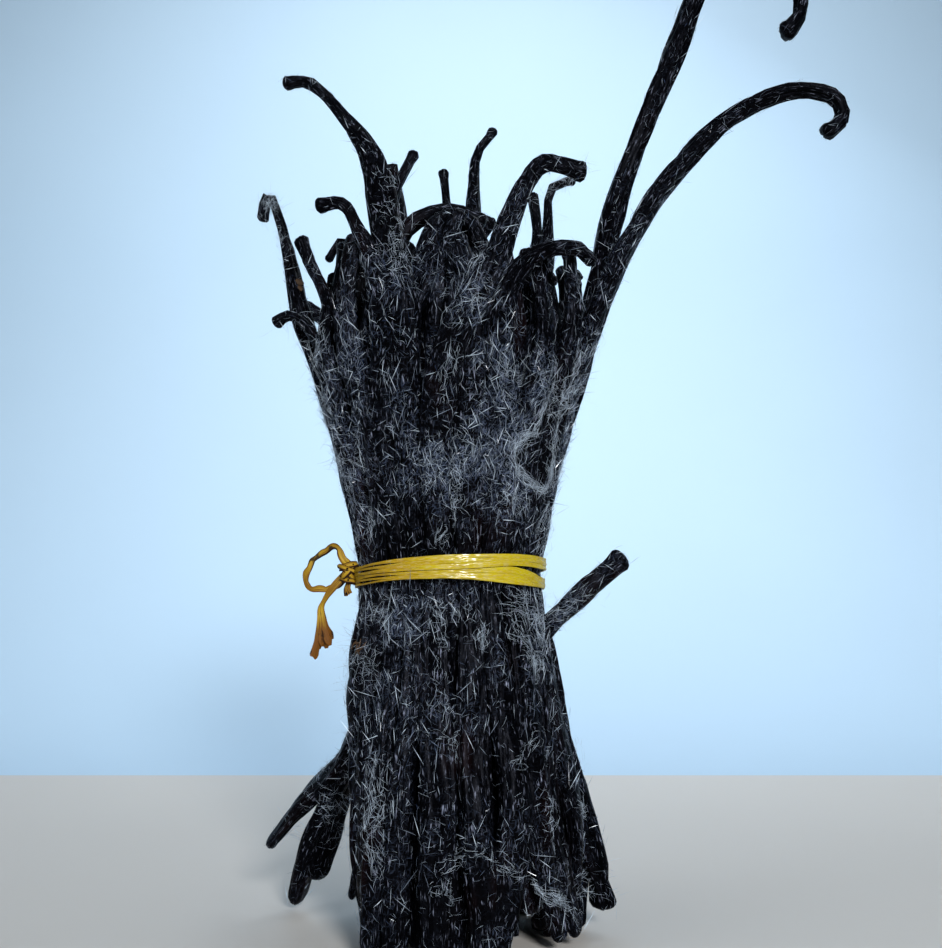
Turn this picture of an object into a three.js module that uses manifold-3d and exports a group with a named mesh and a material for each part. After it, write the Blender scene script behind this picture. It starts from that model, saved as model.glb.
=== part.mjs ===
// A bundle of vanilla pods, standing on its blossom ends and tied at the waist with split raffia.
// Millimetres, +Z up. The origin is the spot on the table under the bundle's axis. The front is -Y,
// and the knot is on the left of it.
import * as THREE from 'three';
import { mergeVertices } from 'three/addons/utils/BufferGeometryUtils.js';
import Module from 'manifold-3d';

const wasm = await Module();
wasm.setup();

// ---- The bundle's outline: narrow under the tie, wider at the crown and at the foot ----
const TIE_HEIGHT = 66;
const WAIST_RADIUS = 17.3;
const DEPTH_SHARE = 0.86;      // the bundle is a little less deep than wide
const CROWN_FLARE = 11.2;
const CROWN_REACH = 51;        // the height above the tie over which the crown opens
const FOOT_FLARE = 9.3;
const FOOT_REACH = 60;
const UPRIGHT_LEFT = 12.8;     // on its left the foot goes straight down, this far from the axis

// ---- The pods: they stand in four rings, one inside the other ----
const SEED = 2009;
const RINGS = [
  { count: 24, share: 1 },
  { count: 17, share: 0.72 },
  { count: 11, share: 0.45 },
  { count: 5, share: 0.2 },
];
const CROWN_SPREAD = 0.5;      // the inner rings spread towards the outer one where the crown opens
const RIM_HEIGHT = 121;        // where the outer pods end
const DOME = 10;               // how much higher the inner pods end
const BACK_RISE = 8;           // and the ones at the back
const BEHIND = 0.3;            // a pod is behind where the sine of its azimuth is over this
const POD_WIDTH = [4.9, 5.9];
const POD_THICKNESS = 3.3;
const THICKEST = 4.3;          // a pod squeezed by its neighbours grows no thicker
const SIDE_GAP = 0.2;
const NECK_WIDTH = [2.4, 3.6]; // the thin stem end
const NECK_LENGTH = 24;
const STIFF_NECK = 8;          // the last stretch keeps the neck's width
const NECK_ROUNDNESS = 0.88;
const KNOB = 0.3;              // the swelling at the very tip
const KNOB_LENGTH = 3;
const HEEL_LENGTH = 18;        // the blossom end narrows over this length
const HEEL = 0.72;
const STAND = [-1.5, 2.5];     // where the blossom ends are; what reaches the table is pressed flat on it
const BODY_HEIGHTS = [22, 44, TIE_HEIGHT, 88, 106];
const END_ROOM = 8;            // an end has no body height nearer than this
const SHUT_REACH = 30;         // the tie holds the pods flush with each other over this height

// The foot is open at the front right, where the inner pods end higher.
const NOTCH_AT = 318;
const NOTCH_SPAN = 28;
const NOTCH_LIFT = 6;

const TABLE = [200, 200, 20];

// ---- Facets ----
const OUTER_SIDES = 6;
const INNER_SIDES = 5;
const FACET_ALLOWANCE = 1.08;  // makes a six-sided pod as full as a round one
const LONGEST_STEP = 24;
const SHARPEST_TURN = 30;
const FINE_STEPS = 240;
const CORE_SIDES = 16;

// ---- The core: the tight middle of the bundle ----
const CORE_INSET = 2.6;
const CORE_HEIGHTS = [56, TIE_HEIGHT, 74, 88, 100, 108];
const CORE_FOOT = [[9, 0], [11, 14], [13, 28], [14.6, 42]];
const CORE_TOP = [[24, 114], [18, 121], [0, 124]];

// Stem ends that stand out of the crown. Each way runs on from the pod's slot in its ring, over the rim
// and to the tip.
const CROWNS = [
  // the tallest pod, and the long one that curls beside it
  { ring: 0, slot: 0, width: 6.1, neck: 3, thins: 76, way: [[29.5, 1, 127], [32.7, -4, 139], [39.9, -9, 157],
    [46.8, -15, 174], [50, -17, 182], [57, -18, 187], [63.5, -18, 182], [66.5, -18, 173],
    [65.5, -18, 168.5], [62.5, -18, 165.5]] },
  { ring: 0, slot: 23, width: 5.5, neck: 2.8, thins: 64, way: [[32, -11, 124], [36.5, -13, 132],
    [41, -15, 138], [51.5, -20, 147.5], [62, -24, 151], [69, -25, 149], [70.5, -25, 145.5],
    [67, -25, 142]] },
  // the tall curl on the left, and the short one before it
  { ring: 0, slot: 17, width: 5.7, neck: 2.4, thins: 46, way: [[-8.5, -21, 113], [-10.5, -19, 123],
    [-12.5, -16, 134], [-15, -14, 143], [-20, -10, 152], [-24.5, -9, 158], [-28.5, -8, 161.5],
    [-33, -8, 161]] },
  { ring: 0, slot: 16, width: 5.3, neck: 2.2, thins: 32, way: [[-12, -20, 114], [-16, -18, 126],
    [-20, -16, 133], [-25, -15, 133]] },
  // the far left hooks and the stub under them
  { ring: 0, slot: 12, neck: 2.1, thins: 34, way: [[-29.5, 0, 116], [-34, 5, 134], [-38, 7, 144],
    [-39, 7, 138.5]] },
  { ring: 0, slot: 14, neck: 2.3, thins: 32, way: [[-23.5, -8, 117], [-27, -7, 125], [-29, -7, 130]] },
  { ring: 0, slot: 13, neck: 1.9, thins: 28, way: [[-27, -5, 112], [-31, -5, 115], [-34, -5, 113]] },
  // the pod that leans over the front to the right, and the one that arches under it
  { ring: 0, slot: 18, width: 5.4, neck: 2.8, thins: 36, way: [[1, -24, 104], [7, -26, 116],
    [11, -24, 128], [17, -22, 138], [25, -20, 137]] },
  { ring: 0, slot: 20, neck: 2.7, thins: 34, way: [[10, -22, 113], [16, -19, 122], [23, -15, 125],
    [27, -10, 124]] },
  // the arch in the middle of the crown, and the pod lying across behind it
  { ring: 1, slot: 12, neck: 2.5, way: [[-5, -17, 118], [-2, -13, 131], [3, -12, 132], [6, -12, 126]] },
  { ring: 2, slot: 6, neck: 3, way: [[-12, -5, 124], [-8, -5, 133], [-1, -5, 136], [7, -4, 134]] },
  // the short upright ends behind
  { ring: 1, slot: 7, neck: 2.4, way: [[-13, 8, 126], [-11, 8, 140], [-13, 12, 153]] },
  { ring: 2, slot: 5, neck: 2.1, way: [[-11, 5, 128], [-12, 6, 143], [-7.5, 6, 153.5]] },
  { ring: 2, slot: 3, neck: 1.7, way: [[-1, 11, 128], [-1, 13, 143], [-2, 14, 153]] },
  { ring: 3, slot: 0, neck: 2.1, way: [[5, 1, 128], [4.5, 3, 144], [5.5, 4, 152], [9, 4, 157.5]] },
  { ring: 1, slot: 2, neck: 2, way: [[16, 11, 124], [18, 12, 138], [17, 12, 147]] },
  { ring: 1, slot: 1, neck: 1.9, way: [[18, 8, 122], [20, 10, 138], [21, 10, 147], [26, 10, 149]] },
  { ring: 1, slot: 8, neck: 1.7, way: [[-18, 6, 120], [-19, 9, 129], [-22.5, 10, 136], [-26, 10, 131]] },
];

// Blossom ends that splay from the foot. Each way runs from the tip up to the bundle's side, and heel is
// the share of the pod's width that is left at the tip.
const FEET = [
  { ring: 0, slot: 12, heel: 0.58, way: [[-37, 21, 12], [-31, 17, 19], [-18.8, 9, 33], [-15.5, 3, 47]] },
  { ring: 0, slot: 11, heel: 0.8, way: [[-31, 20, 1], [-27, 16, 15], [-18.2, 10, 32], [-15, 6, 46]] },
  { ring: 0, slot: 10, heel: 0.8, way: [[-27, 18, 6], [-23, 16, 19]] },
  { ring: 1, slot: 8, heel: 0.4, way: [[-18.8, 10, 4], [-16.6, 9, 14], [-12, 4, 30]] },
  { ring: 0, slot: 20, heel: 0.8, way: [[7.5, -20.5, -1]] },
  { ring: 0, slot: 21, heel: 0.55, way: [[19.4, -12, 2], [15.5, -14, 18]] },
  { ring: 0, slot: 22, heel: 0.55, way: [[22.3, -9, 2], [18, -11, 19]] },
  { ring: 0, slot: 23, heel: 0.5, way: [[23, -4, 8]] },
  { ring: 0, slot: 0, heel: 1.05, way: [[28.8, 3, 4], [25.6, 1, 18], [21.8, 0, 31], [19.3, 0, 44]] },
];

// One pod lies loose in the bundle and sticks out on the right, just under the tie.
const STRAY = { width: 3.7, thickness: 3.1, way: [[6, 2, 41], [17, -2, 54], [26, -2, 63], [33, -2, 69]] };

// ---- The tie: one strip of raffia round the waist twice, with a knot, a loop and a frayed tail ----
const TIE_CLEARANCE = 0.75;
const STRIP_WIDTH = 2.35;
const STRIP_THICKNESS = 0.5;
const TURN_SIDES = 44;
const TURNS = [
  { front: 66.9, left: 66, right: 68.2, outward: 0 },
  { front: 64.7, left: 64.6, right: 64.3, outward: 0.12 },
];
const KNOT_AT = [-19.8, -2, 65.2];
const KNOT_SIZE = [3.7, 3.4, 6];
const LOOP = [[-20, -2, 66], [-21.5, -1.5, 70], [-22.6, -1, 71], [-25.8, -1, 68.5], [-27.4, -1, 65.6],
  [-26.4, -1, 63], [-23, -1, 62.6], [-20, -2, 64]];
const LOOP_WIDTH = 1.2;
const TAIL = [[-19.8, -2, 65], [-22.3, -2, 61.8], [-24.1, -2, 58.4], [-23.9, -2, 56],
  [-23.5, -2, 53], [-23.2, -2, 50.3]];
const TAIL_WIDTHS = [1.6, 1.4, 0.9, 1.7, 3.2, 3.8];
const STUB = [[-19.6, -2, 63.6], [-19.9, -2.2, 61.2]];
const STUB_WIDTH = 1.3;

// ---- Numbers ----
const smooth = (value) => THREE.MathUtils.smoothstep(value, 0, 1);
const mix = THREE.MathUtils.lerp;
const vector = (point) => new THREE.Vector3(...point);
const radians = THREE.MathUtils.degToRad;

// A small generator, so that every draw is the same each time.
let state = SEED;
function draw([low, high]) {
  state = (state * 48271) % 2147483647;
  return low + (high - low) * (state / 2147483647);
}

// Half the bundle's width at a height.
function outline(height) {
  const above = height - TIE_HEIGHT;
  const flare = above > 0 ? CROWN_FLARE : FOOT_FLARE;
  const reach = above > 0 ? CROWN_REACH : FOOT_REACH;
  return WAIST_RADIUS + flare * smooth(Math.abs(above) / reach);
}

// How far out a ring lies, as a share of the outer ring's distance from the axis.
function shareAt(pod, height) {
  return pod.share ** (1 - CROWN_SPREAD * smooth((height - TIE_HEIGHT) / CROWN_REACH));
}

// The outward direction at an azimuth of the bundle's oval.
function outward(azimuth) {
  return new THREE.Vector3(DEPTH_SHARE * Math.cos(azimuth), Math.sin(azimuth), 0).normalize();
}

// ---- Pods ----
// The middle of a pod of a ring at a height: an outer pod's outer face touches the outline.
function bodyPoint(pod, height) {
  const azimuth = pod.azimuth + pod.drift * (height - TIE_HEIGHT) / CROWN_REACH;
  const radius = outline(height);
  const loose = smooth(Math.abs(height - TIE_HEIGHT) / SHUT_REACH);
  const inset = sizeAt(pod, height).thickness / 2 - pod.proud * loose;
  const point = new THREE.Vector3(Math.cos(azimuth) * radius, Math.sin(azimuth) * radius * DEPTH_SHARE, 0);
  point.addScaledVector(outward(azimuth), -inset).setZ(height);
  if (height < TIE_HEIGHT) point.x = Math.max(point.x, -mix(UPRIGHT_LEFT, WAIST_RADIUS, height / TIE_HEIGHT));
  const share = shareAt(pod, height);
  return point.multiply(vector([share, share, 1]));
}

// A pod's width and thickness in the bundle. Neighbours squeeze it at the waist, where it grows thicker.
function sizeAt(pod, height) {
  const around = 2 * Math.PI * (outline(height) - POD_THICKNESS / 2) * shareAt(pod, height)
    * Math.sqrt((1 + DEPTH_SHARE ** 2) / 2);
  const width = Math.min(pod.width, around * pod.portion - SIDE_GAP);
  return { width, thickness: Math.min(THICKEST, pod.width * POD_THICKNESS / width) };
}

function makePods() {
  const pods = [];
  RINGS.forEach(({ count, share }, ring) => {
    const weights = Array.from({ length: count }, () => draw([0.82, 1.18]));
    const total = weights.reduce((sum, weight) => sum + weight);
    let used = -weights[0] / 2;
    weights.forEach((weight, slot) => {
      const azimuth = 2 * Math.PI * (used + weight / 2) / total;
      used += weight;
      const depth = Math.sin(azimuth);
      const behind = depth > BEHIND;
      const here = (end) => end.ring === ring && end.slot === slot;
      const { way: crown, ...stem } = CROWNS.find(here) ?? {};
      const { way: foot, ...blossom } = FEET.find(here) ?? {};
      pods.push({
        ring, share, azimuth, crown, foot,
        portion: weight / total,
        width: draw(POD_WIDTH),
        drift: radians(draw([-5, 5])),
        proud: draw([-0.5, 0.6]),
        neck: draw(NECK_WIDTH),
        thins: NECK_LENGTH,
        heel: HEEL,
        rim: RIM_HEIGHT + DOME * (1 - share) + BACK_RISE * Math.max(depth, 0) + draw([-4, 3]),
        bend: radians(draw([6, 22]) + (behind ? draw([0, 100]) : 0)),
        compass: azimuth + radians(draw([-60, 60])) + (behind ? 0 : Math.PI),
        curl: draw([12, 20]),
        stand: draw(STAND),
        ...stem,
        ...blossom,
      });
    });
  });
  return pods;
}

// The stem end of a pod that keeps to the crowd: it bends over at the rim.
function ordinaryCrown(pod) {
  const steps = 4;
  const point = bodyPoint(pod, pod.rim - 0.75 * pod.curl);
  const way = [point.clone()];
  for (let step = 1; step <= steps; step += 1) {
    const lean = pod.bend * smooth(step / steps);
    point.x += Math.cos(pod.compass) * Math.sin(lean) * pod.curl / steps;
    point.y += Math.sin(pod.compass) * Math.sin(lean) * pod.curl / steps;
    point.z += Math.cos(lean) * pod.curl / steps;
    way.push(point.clone());
  }
  return way;
}

function ordinaryFoot(pod) {
  const fromNotch = (THREE.MathUtils.radToDeg(pod.azimuth) - NOTCH_AT) / NOTCH_SPAN;
  const lift = pod.ring > 0 ? NOTCH_LIFT * Math.exp(-fromNotch * fromNotch) : 0;
  return [bodyPoint(pod, pod.stand + lift)];
}

// The whole middle line of a pod, from the blossom end to the stem end.
function podCurve(pod) {
  const top = pod.crown?.map(vector) ?? ordinaryCrown(pod);
  const bottom = pod.foot?.map(vector) ?? ordinaryFoot(pod);
  const body = BODY_HEIGHTS
    .filter((height) => height > bottom.at(-1).z + END_ROOM && height < top[0].z - END_ROOM)
    .map((height) => bodyPoint(pod, height));
  return new THREE.CatmullRomCurve3([...bottom, ...body, ...top], false, 'centripetal');
}

// Points along a curve, close together where it bends and far apart where it is straight.
function stations(curve) {
  const fine = curve.getSpacedPoints(FINE_STEPS);
  const step = curve.getLength() / FINE_STEPS;
  const kept = [fine[0]];
  let due = 0;
  for (let index = 1; index < FINE_STEPS; index += 1) {
    const before = fine[index].clone().sub(fine[index - 1]);
    const after = fine[index + 1].clone().sub(fine[index]);
    due += step / LONGEST_STEP + before.angleTo(after) / radians(SHARPEST_TURN);
    if (due >= 1) {
      kept.push(fine[index]);
      due -= 1;
    }
  }
  return [...kept, fine[FINE_STEPS]];
}

// A closed tube with an oval section. sizes gives the width and thickness at each point, and across is
// the direction of the thickness at the first point.
function tube(points, sizes, across, sides) {
  const positions = [];
  const faces = [];
  const normal = across.clone();
  points.forEach((point, index) => {
    const ahead = points[Math.min(index + 1, points.length - 1)];
    const behind = points[Math.max(index - 1, 0)];
    const tangent = ahead.clone().sub(behind).normalize();
    normal.addScaledVector(tangent, -normal.dot(tangent)).normalize();
    const sideways = normal.clone().cross(tangent);
    for (let side = 0; side < sides; side += 1) {
      const angle = 2 * Math.PI * side / sides;
      const corner = point.clone()
        .addScaledVector(sideways, Math.cos(angle) * sizes[index].width / 2)
        .addScaledVector(normal, Math.sin(angle) * sizes[index].thickness / 2);
      positions.push(...corner.toArray());
    }
  });
  const last = (points.length - 1) * sides;
  for (let side = 0; side < sides; side += 1) {
    const next = (side + 1) % sides;
    for (let ring = 0; ring < last; ring += sides) {
      faces.push(ring + side, ring + sides + next, ring + sides + side);
      faces.push(ring + side, ring + next, ring + sides + next);
    }
  }
  for (let side = 1; side < sides - 1; side += 1) {
    faces.push(0, side + 1, side);
    faces.push(last, last + side, last + side + 1);
  }
  const geometry = new THREE.BufferGeometry();
  geometry.setAttribute('position', new THREE.Float32BufferAttribute(positions, 3));
  geometry.setIndex(faces);
  return geometry;
}

function podGeometry(pod) {
  const points = stations(podCurve(pod));
  const steps = points.map((point, index) => (index ? point.distanceTo(points[index - 1]) : 0));
  const length = steps.reduce((sum, step) => sum + step);
  let fromFoot = 0;
  const sizes = points.map((point, index) => {
    fromFoot += steps[index];
    const fromTip = length - fromFoot;
    const { width, thickness } = sizeAt(pod, Math.min(point.z, RIM_HEIGHT));
    const thin = 1 - smooth((fromTip - STIFF_NECK) / (pod.thins - STIFF_NECK));
    const heel = mix(pod.heel, 1, smooth(fromFoot / HEEL_LENGTH));
    const full = FACET_ALLOWANCE * heel * (1 + KNOB * (1 - smooth(fromTip / KNOB_LENGTH)));
    return {
      width: mix(width, pod.neck, thin) * full,
      thickness: mix(thickness, pod.neck * NECK_ROUNDNESS, thin) * full,
    };
  });
  return tube(points, sizes, outward(pod.azimuth), pod.ring ? INNER_SIDES : OUTER_SIDES);
}

function strayGeometry() {
  const points = stations(new THREE.CatmullRomCurve3(STRAY.way.map(vector), false, 'centripetal'));
  const sizes = points.map(() => STRAY);
  return tube(points, sizes, new THREE.Vector3(0, -1, 0), OUTER_SIDES);
}

// The tight middle of the bundle, which the outer pods are sunk in.
function coreGeometry() {
  const side = CORE_HEIGHTS.map((height) => [outline(height) - CORE_INSET, height]);
  const profile = [[0, 0], ...CORE_FOOT, ...side, ...CORE_TOP];
  const lathe = new THREE.LatheGeometry(profile.map(([x, y]) => new THREE.Vector2(x, y)), CORE_SIDES);
  return lathe.rotateX(Math.PI / 2).scale(1, DEPTH_SHARE, 1);
}

// ---- Solids ----
function toSolid(geometry) {
  const bare = geometry.clone();
  bare.deleteAttribute('normal');
  bare.deleteAttribute('uv');
  const merged = mergeVertices(bare, 1e-4);
  return new wasm.Manifold(new wasm.Mesh({
    numProp: 3,
    vertProperties: Float32Array.from(merged.attributes.position.array),
    triVerts: Uint32Array.from(merged.index.array),
  }));
}

// The largest closed shell of a solid: the pods' outside, without the pockets that they shut in.
function outerShell(solid) {
  const { vertProperties, triVerts } = solid.getMesh();
  const parent = Array.from({ length: vertProperties.length / 3 }, (_, index) => index);
  const root = (index) => {
    let at = index;
    while (parent[at] !== at) {
      parent[at] = parent[parent[at]];
      at = parent[at];
    }
    return at;
  };
  for (let index = 0; index < triVerts.length; index += 3) {
    parent[root(triVerts[index + 1])] = root(triVerts[index]);
    parent[root(triVerts[index + 2])] = root(triVerts[index]);
  }
  const shells = new Map();
  for (let index = 0; index < triVerts.length; index += 3) {
    const key = root(triVerts[index]);
    shells.set(key, [...(shells.get(key) ?? []), ...triVerts.slice(index, index + 3)]);
  }
  const faces = [...shells.values()].sort((a, b) => b.length - a.length)[0];
  const geometry = new THREE.BufferGeometry();
  geometry.setAttribute('position', new THREE.BufferAttribute(vertProperties, 3));
  geometry.setIndex(faces);
  return geometry;
}

function fuse(geometries) {
  const whole = geometries.map(toSolid).reduce((all, piece) => all.add(piece));
  const table = new THREE.BoxGeometry(...TABLE).translate(0, 0, -TABLE[2] / 2);
  return outerShell(whole.subtract(toSolid(table)));
}

// ---- The tie ----
// One turn of the strip round the waist. It lies flat on the pods, and its height changes on the way.
function turnGeometry({ front, left, right, outward: lift }) {
  const positions = [];
  const faces = [];
  const inner = WAIST_RADIUS + TIE_CLEARANCE + lift;
  for (let side = 0; side < TURN_SIDES; side += 1) {
    const azimuth = 2 * Math.PI * side / TURN_SIDES;
    const toFront = smooth(-Math.sin(azimuth));
    const toLeft = (1 - Math.cos(azimuth)) / 2;
    const middle = mix(mix(right, left, toLeft), front, toFront);
    for (const [out, up] of [[0, -1], [1, -1], [1, 1], [0, 1]]) {
      const radius = inner + out * STRIP_THICKNESS;
      const depth = inner * DEPTH_SHARE + out * STRIP_THICKNESS + (1 - DEPTH_SHARE) * TIE_CLEARANCE;
      positions.push(Math.cos(azimuth) * radius, Math.sin(azimuth) * depth, middle + up * STRIP_WIDTH / 2);
    }
    const from = side * 4;
    const to = ((side + 1) % TURN_SIDES) * 4;
    for (let corner = 0; corner < 4; corner += 1) {
      const next = (corner + 1) % 4;
      faces.push(from + corner, to + next, from + next);
      faces.push(from + corner, to + corner, to + next);
    }
  }
  const geometry = new THREE.BufferGeometry();
  geometry.setAttribute('position', new THREE.Float32BufferAttribute(positions, 3));
  geometry.setIndex(faces);
  return geometry;
}

function strip(way, widths) {
  const curve = new THREE.CatmullRomCurve3(way.map(vector), false, 'centripetal');
  const count = 2 * way.length;
  const points = curve.getPoints(count);
  const sizes = points.map((_, index) => {
    const place = index / count * (widths.length - 1);
    const before = Math.min(Math.floor(place), widths.length - 2);
    return { width: mix(widths[before], widths[before + 1], place - before), thickness: STRIP_THICKNESS };
  });
  return tube(points, sizes, new THREE.Vector3(0, -1, 0), 8);
}

function knotGeometry() {
  return new THREE.SphereGeometry(0.5, 12, 8).rotateX(Math.PI / 2)
    .scale(...KNOT_SIZE).translate(...KNOT_AT);
}

// ---- The object ----
const bundle = new THREE.Group();

function place(name, geometry, color, roughness) {
  const mesh = new THREE.Mesh(geometry, new THREE.MeshStandardMaterial({ color, roughness, metalness: 0 }));
  mesh.name = name;
  bundle.add(mesh);
}

place('vanilla_pods', fuse([coreGeometry(), ...makePods().map(podGeometry), strayGeometry()]),
  0x1c1512, 0.5);
place('raffia_tie', fuse([...TURNS.map(turnGeometry), knotGeometry(),
  strip(LOOP, [LOOP_WIDTH, LOOP_WIDTH]), strip(TAIL, TAIL_WIDTHS), strip(STUB, [STUB_WIDTH, STUB_WIDTH])]),
0xd9a916, 0.4);

export default bundle;
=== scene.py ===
# %% [markdown]
# # A bundle of cured vanilla pods
# Cured vanilla pods are thin black-brown fruits as long as a hand. They are sorted by length, stood in a
# bundle and tied round the waist with raffia. In a cool tin, needles of vanillin grow out of their skin
# like frost. The imported solids give every size and place here, so the script begins by loading them.

# %% Load the solids
import math

import bpy
import numpy as np
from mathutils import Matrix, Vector
from mathutils.bvhtree import BVHTree


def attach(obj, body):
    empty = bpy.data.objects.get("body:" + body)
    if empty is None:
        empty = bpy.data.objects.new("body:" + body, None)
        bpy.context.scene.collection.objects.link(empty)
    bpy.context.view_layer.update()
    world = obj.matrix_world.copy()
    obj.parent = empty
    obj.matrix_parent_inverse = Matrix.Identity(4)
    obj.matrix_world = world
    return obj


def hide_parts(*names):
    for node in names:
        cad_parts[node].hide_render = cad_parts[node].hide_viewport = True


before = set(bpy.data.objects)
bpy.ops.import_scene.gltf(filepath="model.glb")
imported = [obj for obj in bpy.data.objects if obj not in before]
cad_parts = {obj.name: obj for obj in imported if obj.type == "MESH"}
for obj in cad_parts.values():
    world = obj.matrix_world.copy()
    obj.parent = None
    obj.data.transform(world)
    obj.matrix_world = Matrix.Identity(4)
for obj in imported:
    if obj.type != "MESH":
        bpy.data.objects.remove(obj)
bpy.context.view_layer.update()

# %% [markdown]
# ## Camera
# A tall thin thing looks tall when the camera stands low and close. This one stands in front, below the
# tie, and looks a little up, so that the crown opens against the backdrop and the foot runs out of the
# picture. The lens is of medium length, which keeps the pods' true proportions.

# %% Camera
FOCAL_LENGTH, SENSOR_WIDTH = 42.04, 36
CAMERA_AT = (0.004, -0.210, 0.053)
LOOKS_UP = 8.6  # degrees above level
lens = bpy.data.cameras.new("lens")
lens.lens = FOCAL_LENGTH
lens.sensor_width = SENSOR_WIDTH
lens.sensor_fit = "HORIZONTAL"
lens.clip_start = 0.01
camera = bpy.data.objects.new("camera", lens)
camera.location = CAMERA_AT
camera.rotation_euler = (math.radians(90 + LOOKS_UP), 0, 0)
bpy.context.scene.collection.objects.link(camera)
bpy.context.scene.camera = camera
print("camera at", tuple(camera.location))

# %% [markdown]
# ## Shader sums in plain Python
# A finish is a small sum: this much of one noise, less that much of another. Blender does such sums with
# Math nodes, one for each sign. Wrapping a socket in a small class lets Python's own signs add those
# nodes, so a finish reads as a formula. Every other node comes from one method that sets the node up
# first and then fills or links its sockets.


# %% A number that varies over a surface
class Varying:
    def __init__(self, finish, socket):
        self.finish = finish
        self.socket = socket

    def sum(self, operation, first, second):
        return self.finish.node("Math", {"operation": operation}, {0: first, 1: second})

    def __add__(self, other):
        return self.sum("ADD", self, other)

    def __sub__(self, other):
        return self.sum("SUBTRACT", self, other)

    def __rsub__(self, other):
        return self.sum("SUBTRACT", other, self)

    def __mul__(self, other):
        return self.sum("MULTIPLY", self, other)

    __radd__ = __add__
    __rmul__ = __mul__

    def held(self):
        """The same number, kept between 0 and 1."""
        return self.finish.node("Math", {"operation": "ADD", "use_clamp": True}, {0: self, 1: 0.0})


# %% A finish and its nodes
class Finish:
    def __init__(self, name):
        self.material = bpy.data.materials.new(name)
        self.material.use_nodes = True
        self.tree = self.material.node_tree
        self.tree.nodes.clear()

    def node(self, kind, settings=None, sockets=None, out=0):
        node = self.tree.nodes.new("ShaderNode" + kind)
        for name, value in (settings or {}).items():
            setattr(node, name, value)
        for name, value in (sockets or {}).items():
            if isinstance(value, Varying):
                self.tree.links.new(value.socket, node.inputs[name])
            else:
                node.inputs[name].default_value = value
        return Varying(self, node.outputs[out] if node.outputs else None)

    def blend(self, share, first, second):
        """A colour between two colours."""
        return self.node("Mix", {"data_type": "RGBA"}, {0: share, 6: first, 7: second}, out=2)

    def noise(self, place, scale, detail=2.0, roughness=0.5):
        """Cloudy noise whose grains have another size along each axis: scale is grains per unit."""
        stretched = self.node("Mapping", None, {"Vector": place, "Scale": scale})
        return self.node("TexNoise", None, {"Vector": stretched, "Scale": 1.0, "Detail": detail,
                                            "Roughness": roughness})

    def surface(self, **sockets):
        named = {name.replace("_", " "): value for name, value in sockets.items()}
        skin = self.node("BsdfPrincipled", None, named)
        self.node("OutputMaterial", None, {"Surface": skin})
        return self.material


# %% [markdown]
# ## Floor, backdrop and light
# Black, oily skin shows its form only by what it mirrors, and white needles show only against black. So
# the room stays dim, and one soft lamp in front, above and to the right does most of the work. It lights
# the crystals and draws broken glints along the folds, together with glints painted into the pods' finish.
# The floor ends in a pale sweep, a sheet that curves up into a wall and so has no corner. It has a lamp of
# its own, aimed away from the bundle.


# %% Finish of the floor and the backdrop
MOTTLES = 6  # soft patches in each metre
MOTTLE_SHADE = 0.94  # how bright a patch's dark side is


def plain_finish(name, colour, roughness):
    finish = Finish(name)
    place = finish.node("TexCoord", None, None, out="Object")
    mottle = finish.noise(place, (MOTTLES, MOTTLES, MOTTLES))
    dimmer = tuple(MOTTLE_SHADE * c for c in colour[:3]) + (1,)
    return finish.surface(Base_Color=finish.blend(mottle, dimmer, colour), Roughness=roughness)


# %% Floor and backdrop
STAGE_REACH = 3  # metres to each side, forwards and up
FLOOR_END = 0.24
SWEEP_RADIUS, SWEEP_STEPS = 0.35, 24


def sheet_object(name, rows, material):
    """A grid of points as one open sheet."""
    high, wide = len(rows), len(rows[0])
    faces = [(r * wide + c, r * wide + c + 1, (r + 1) * wide + c + 1, (r + 1) * wide + c)
             for r in range(high - 1) for c in range(wide - 1)]
    mesh = bpy.data.meshes.new(name)
    mesh.from_pydata([point for row in rows for point in row], [], faces)
    mesh.polygons.foreach_set("use_smooth", [True] * len(faces))
    mesh.materials.append(material)
    sheet = bpy.data.objects.new(name, mesh)
    bpy.context.scene.collection.objects.link(sheet)
    return sheet


def stage_row(y, z):
    return [(x, y, z) for x in (-STAGE_REACH, STAGE_REACH)]


sheet_object("floor", [stage_row(-STAGE_REACH, 0), stage_row(FLOOR_END, 0)],
             plain_finish("pale_table", (0.66, 0.62, 0.57, 1), 0.6))
sweep_rows = []
for step in range(SWEEP_STEPS + 1):
    turn = math.radians(90 * step / SWEEP_STEPS)
    sweep_rows.append(stage_row(FLOOR_END + SWEEP_RADIUS * math.sin(turn),
                                SWEEP_RADIUS * (1 - math.cos(turn))))
sweep_rows.append(stage_row(FLOOR_END + SWEEP_RADIUS, STAGE_REACH))
sheet_object("backdrop", sweep_rows, plain_finish("pale_backdrop", (0.52, 0.70, 0.86, 1), 0.8))
print("floor to", FLOOR_END, "m behind the bundle, then a sweep of", SWEEP_RADIUS, "m")


# %% Light
BUNDLE_MIDDLE = (0, 0, 0.09)
LAMPS = [  # name, place, aim, width, power, colour, spread in degrees
    ("key", (0.20, -0.74, 0.33), BUNDLE_MIDDLE, 0.16, 6.4, (0.97, 0.985, 1.0), 180),
    ("fill", (-0.6, -0.35, 0.35), BUNDLE_MIDDLE, 0.4, 0.8, (0.80, 0.90, 1.0), 180),
    ("rim", (0.35, 0.35, 0.6), BUNDLE_MIDDLE, 0.3, 0.8, (0.86, 0.93, 1.0), 180),
    ("wall_lamp", (0.0, 0.08, 0.72), (0.0, 0.59, 0.20), 0.5, 1.4, (0.96, 0.98, 1.0), 98),
]
SKY_COLOUR, SKY_STRENGTH = (0.80, 0.90, 1.0, 1), 0.11


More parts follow.
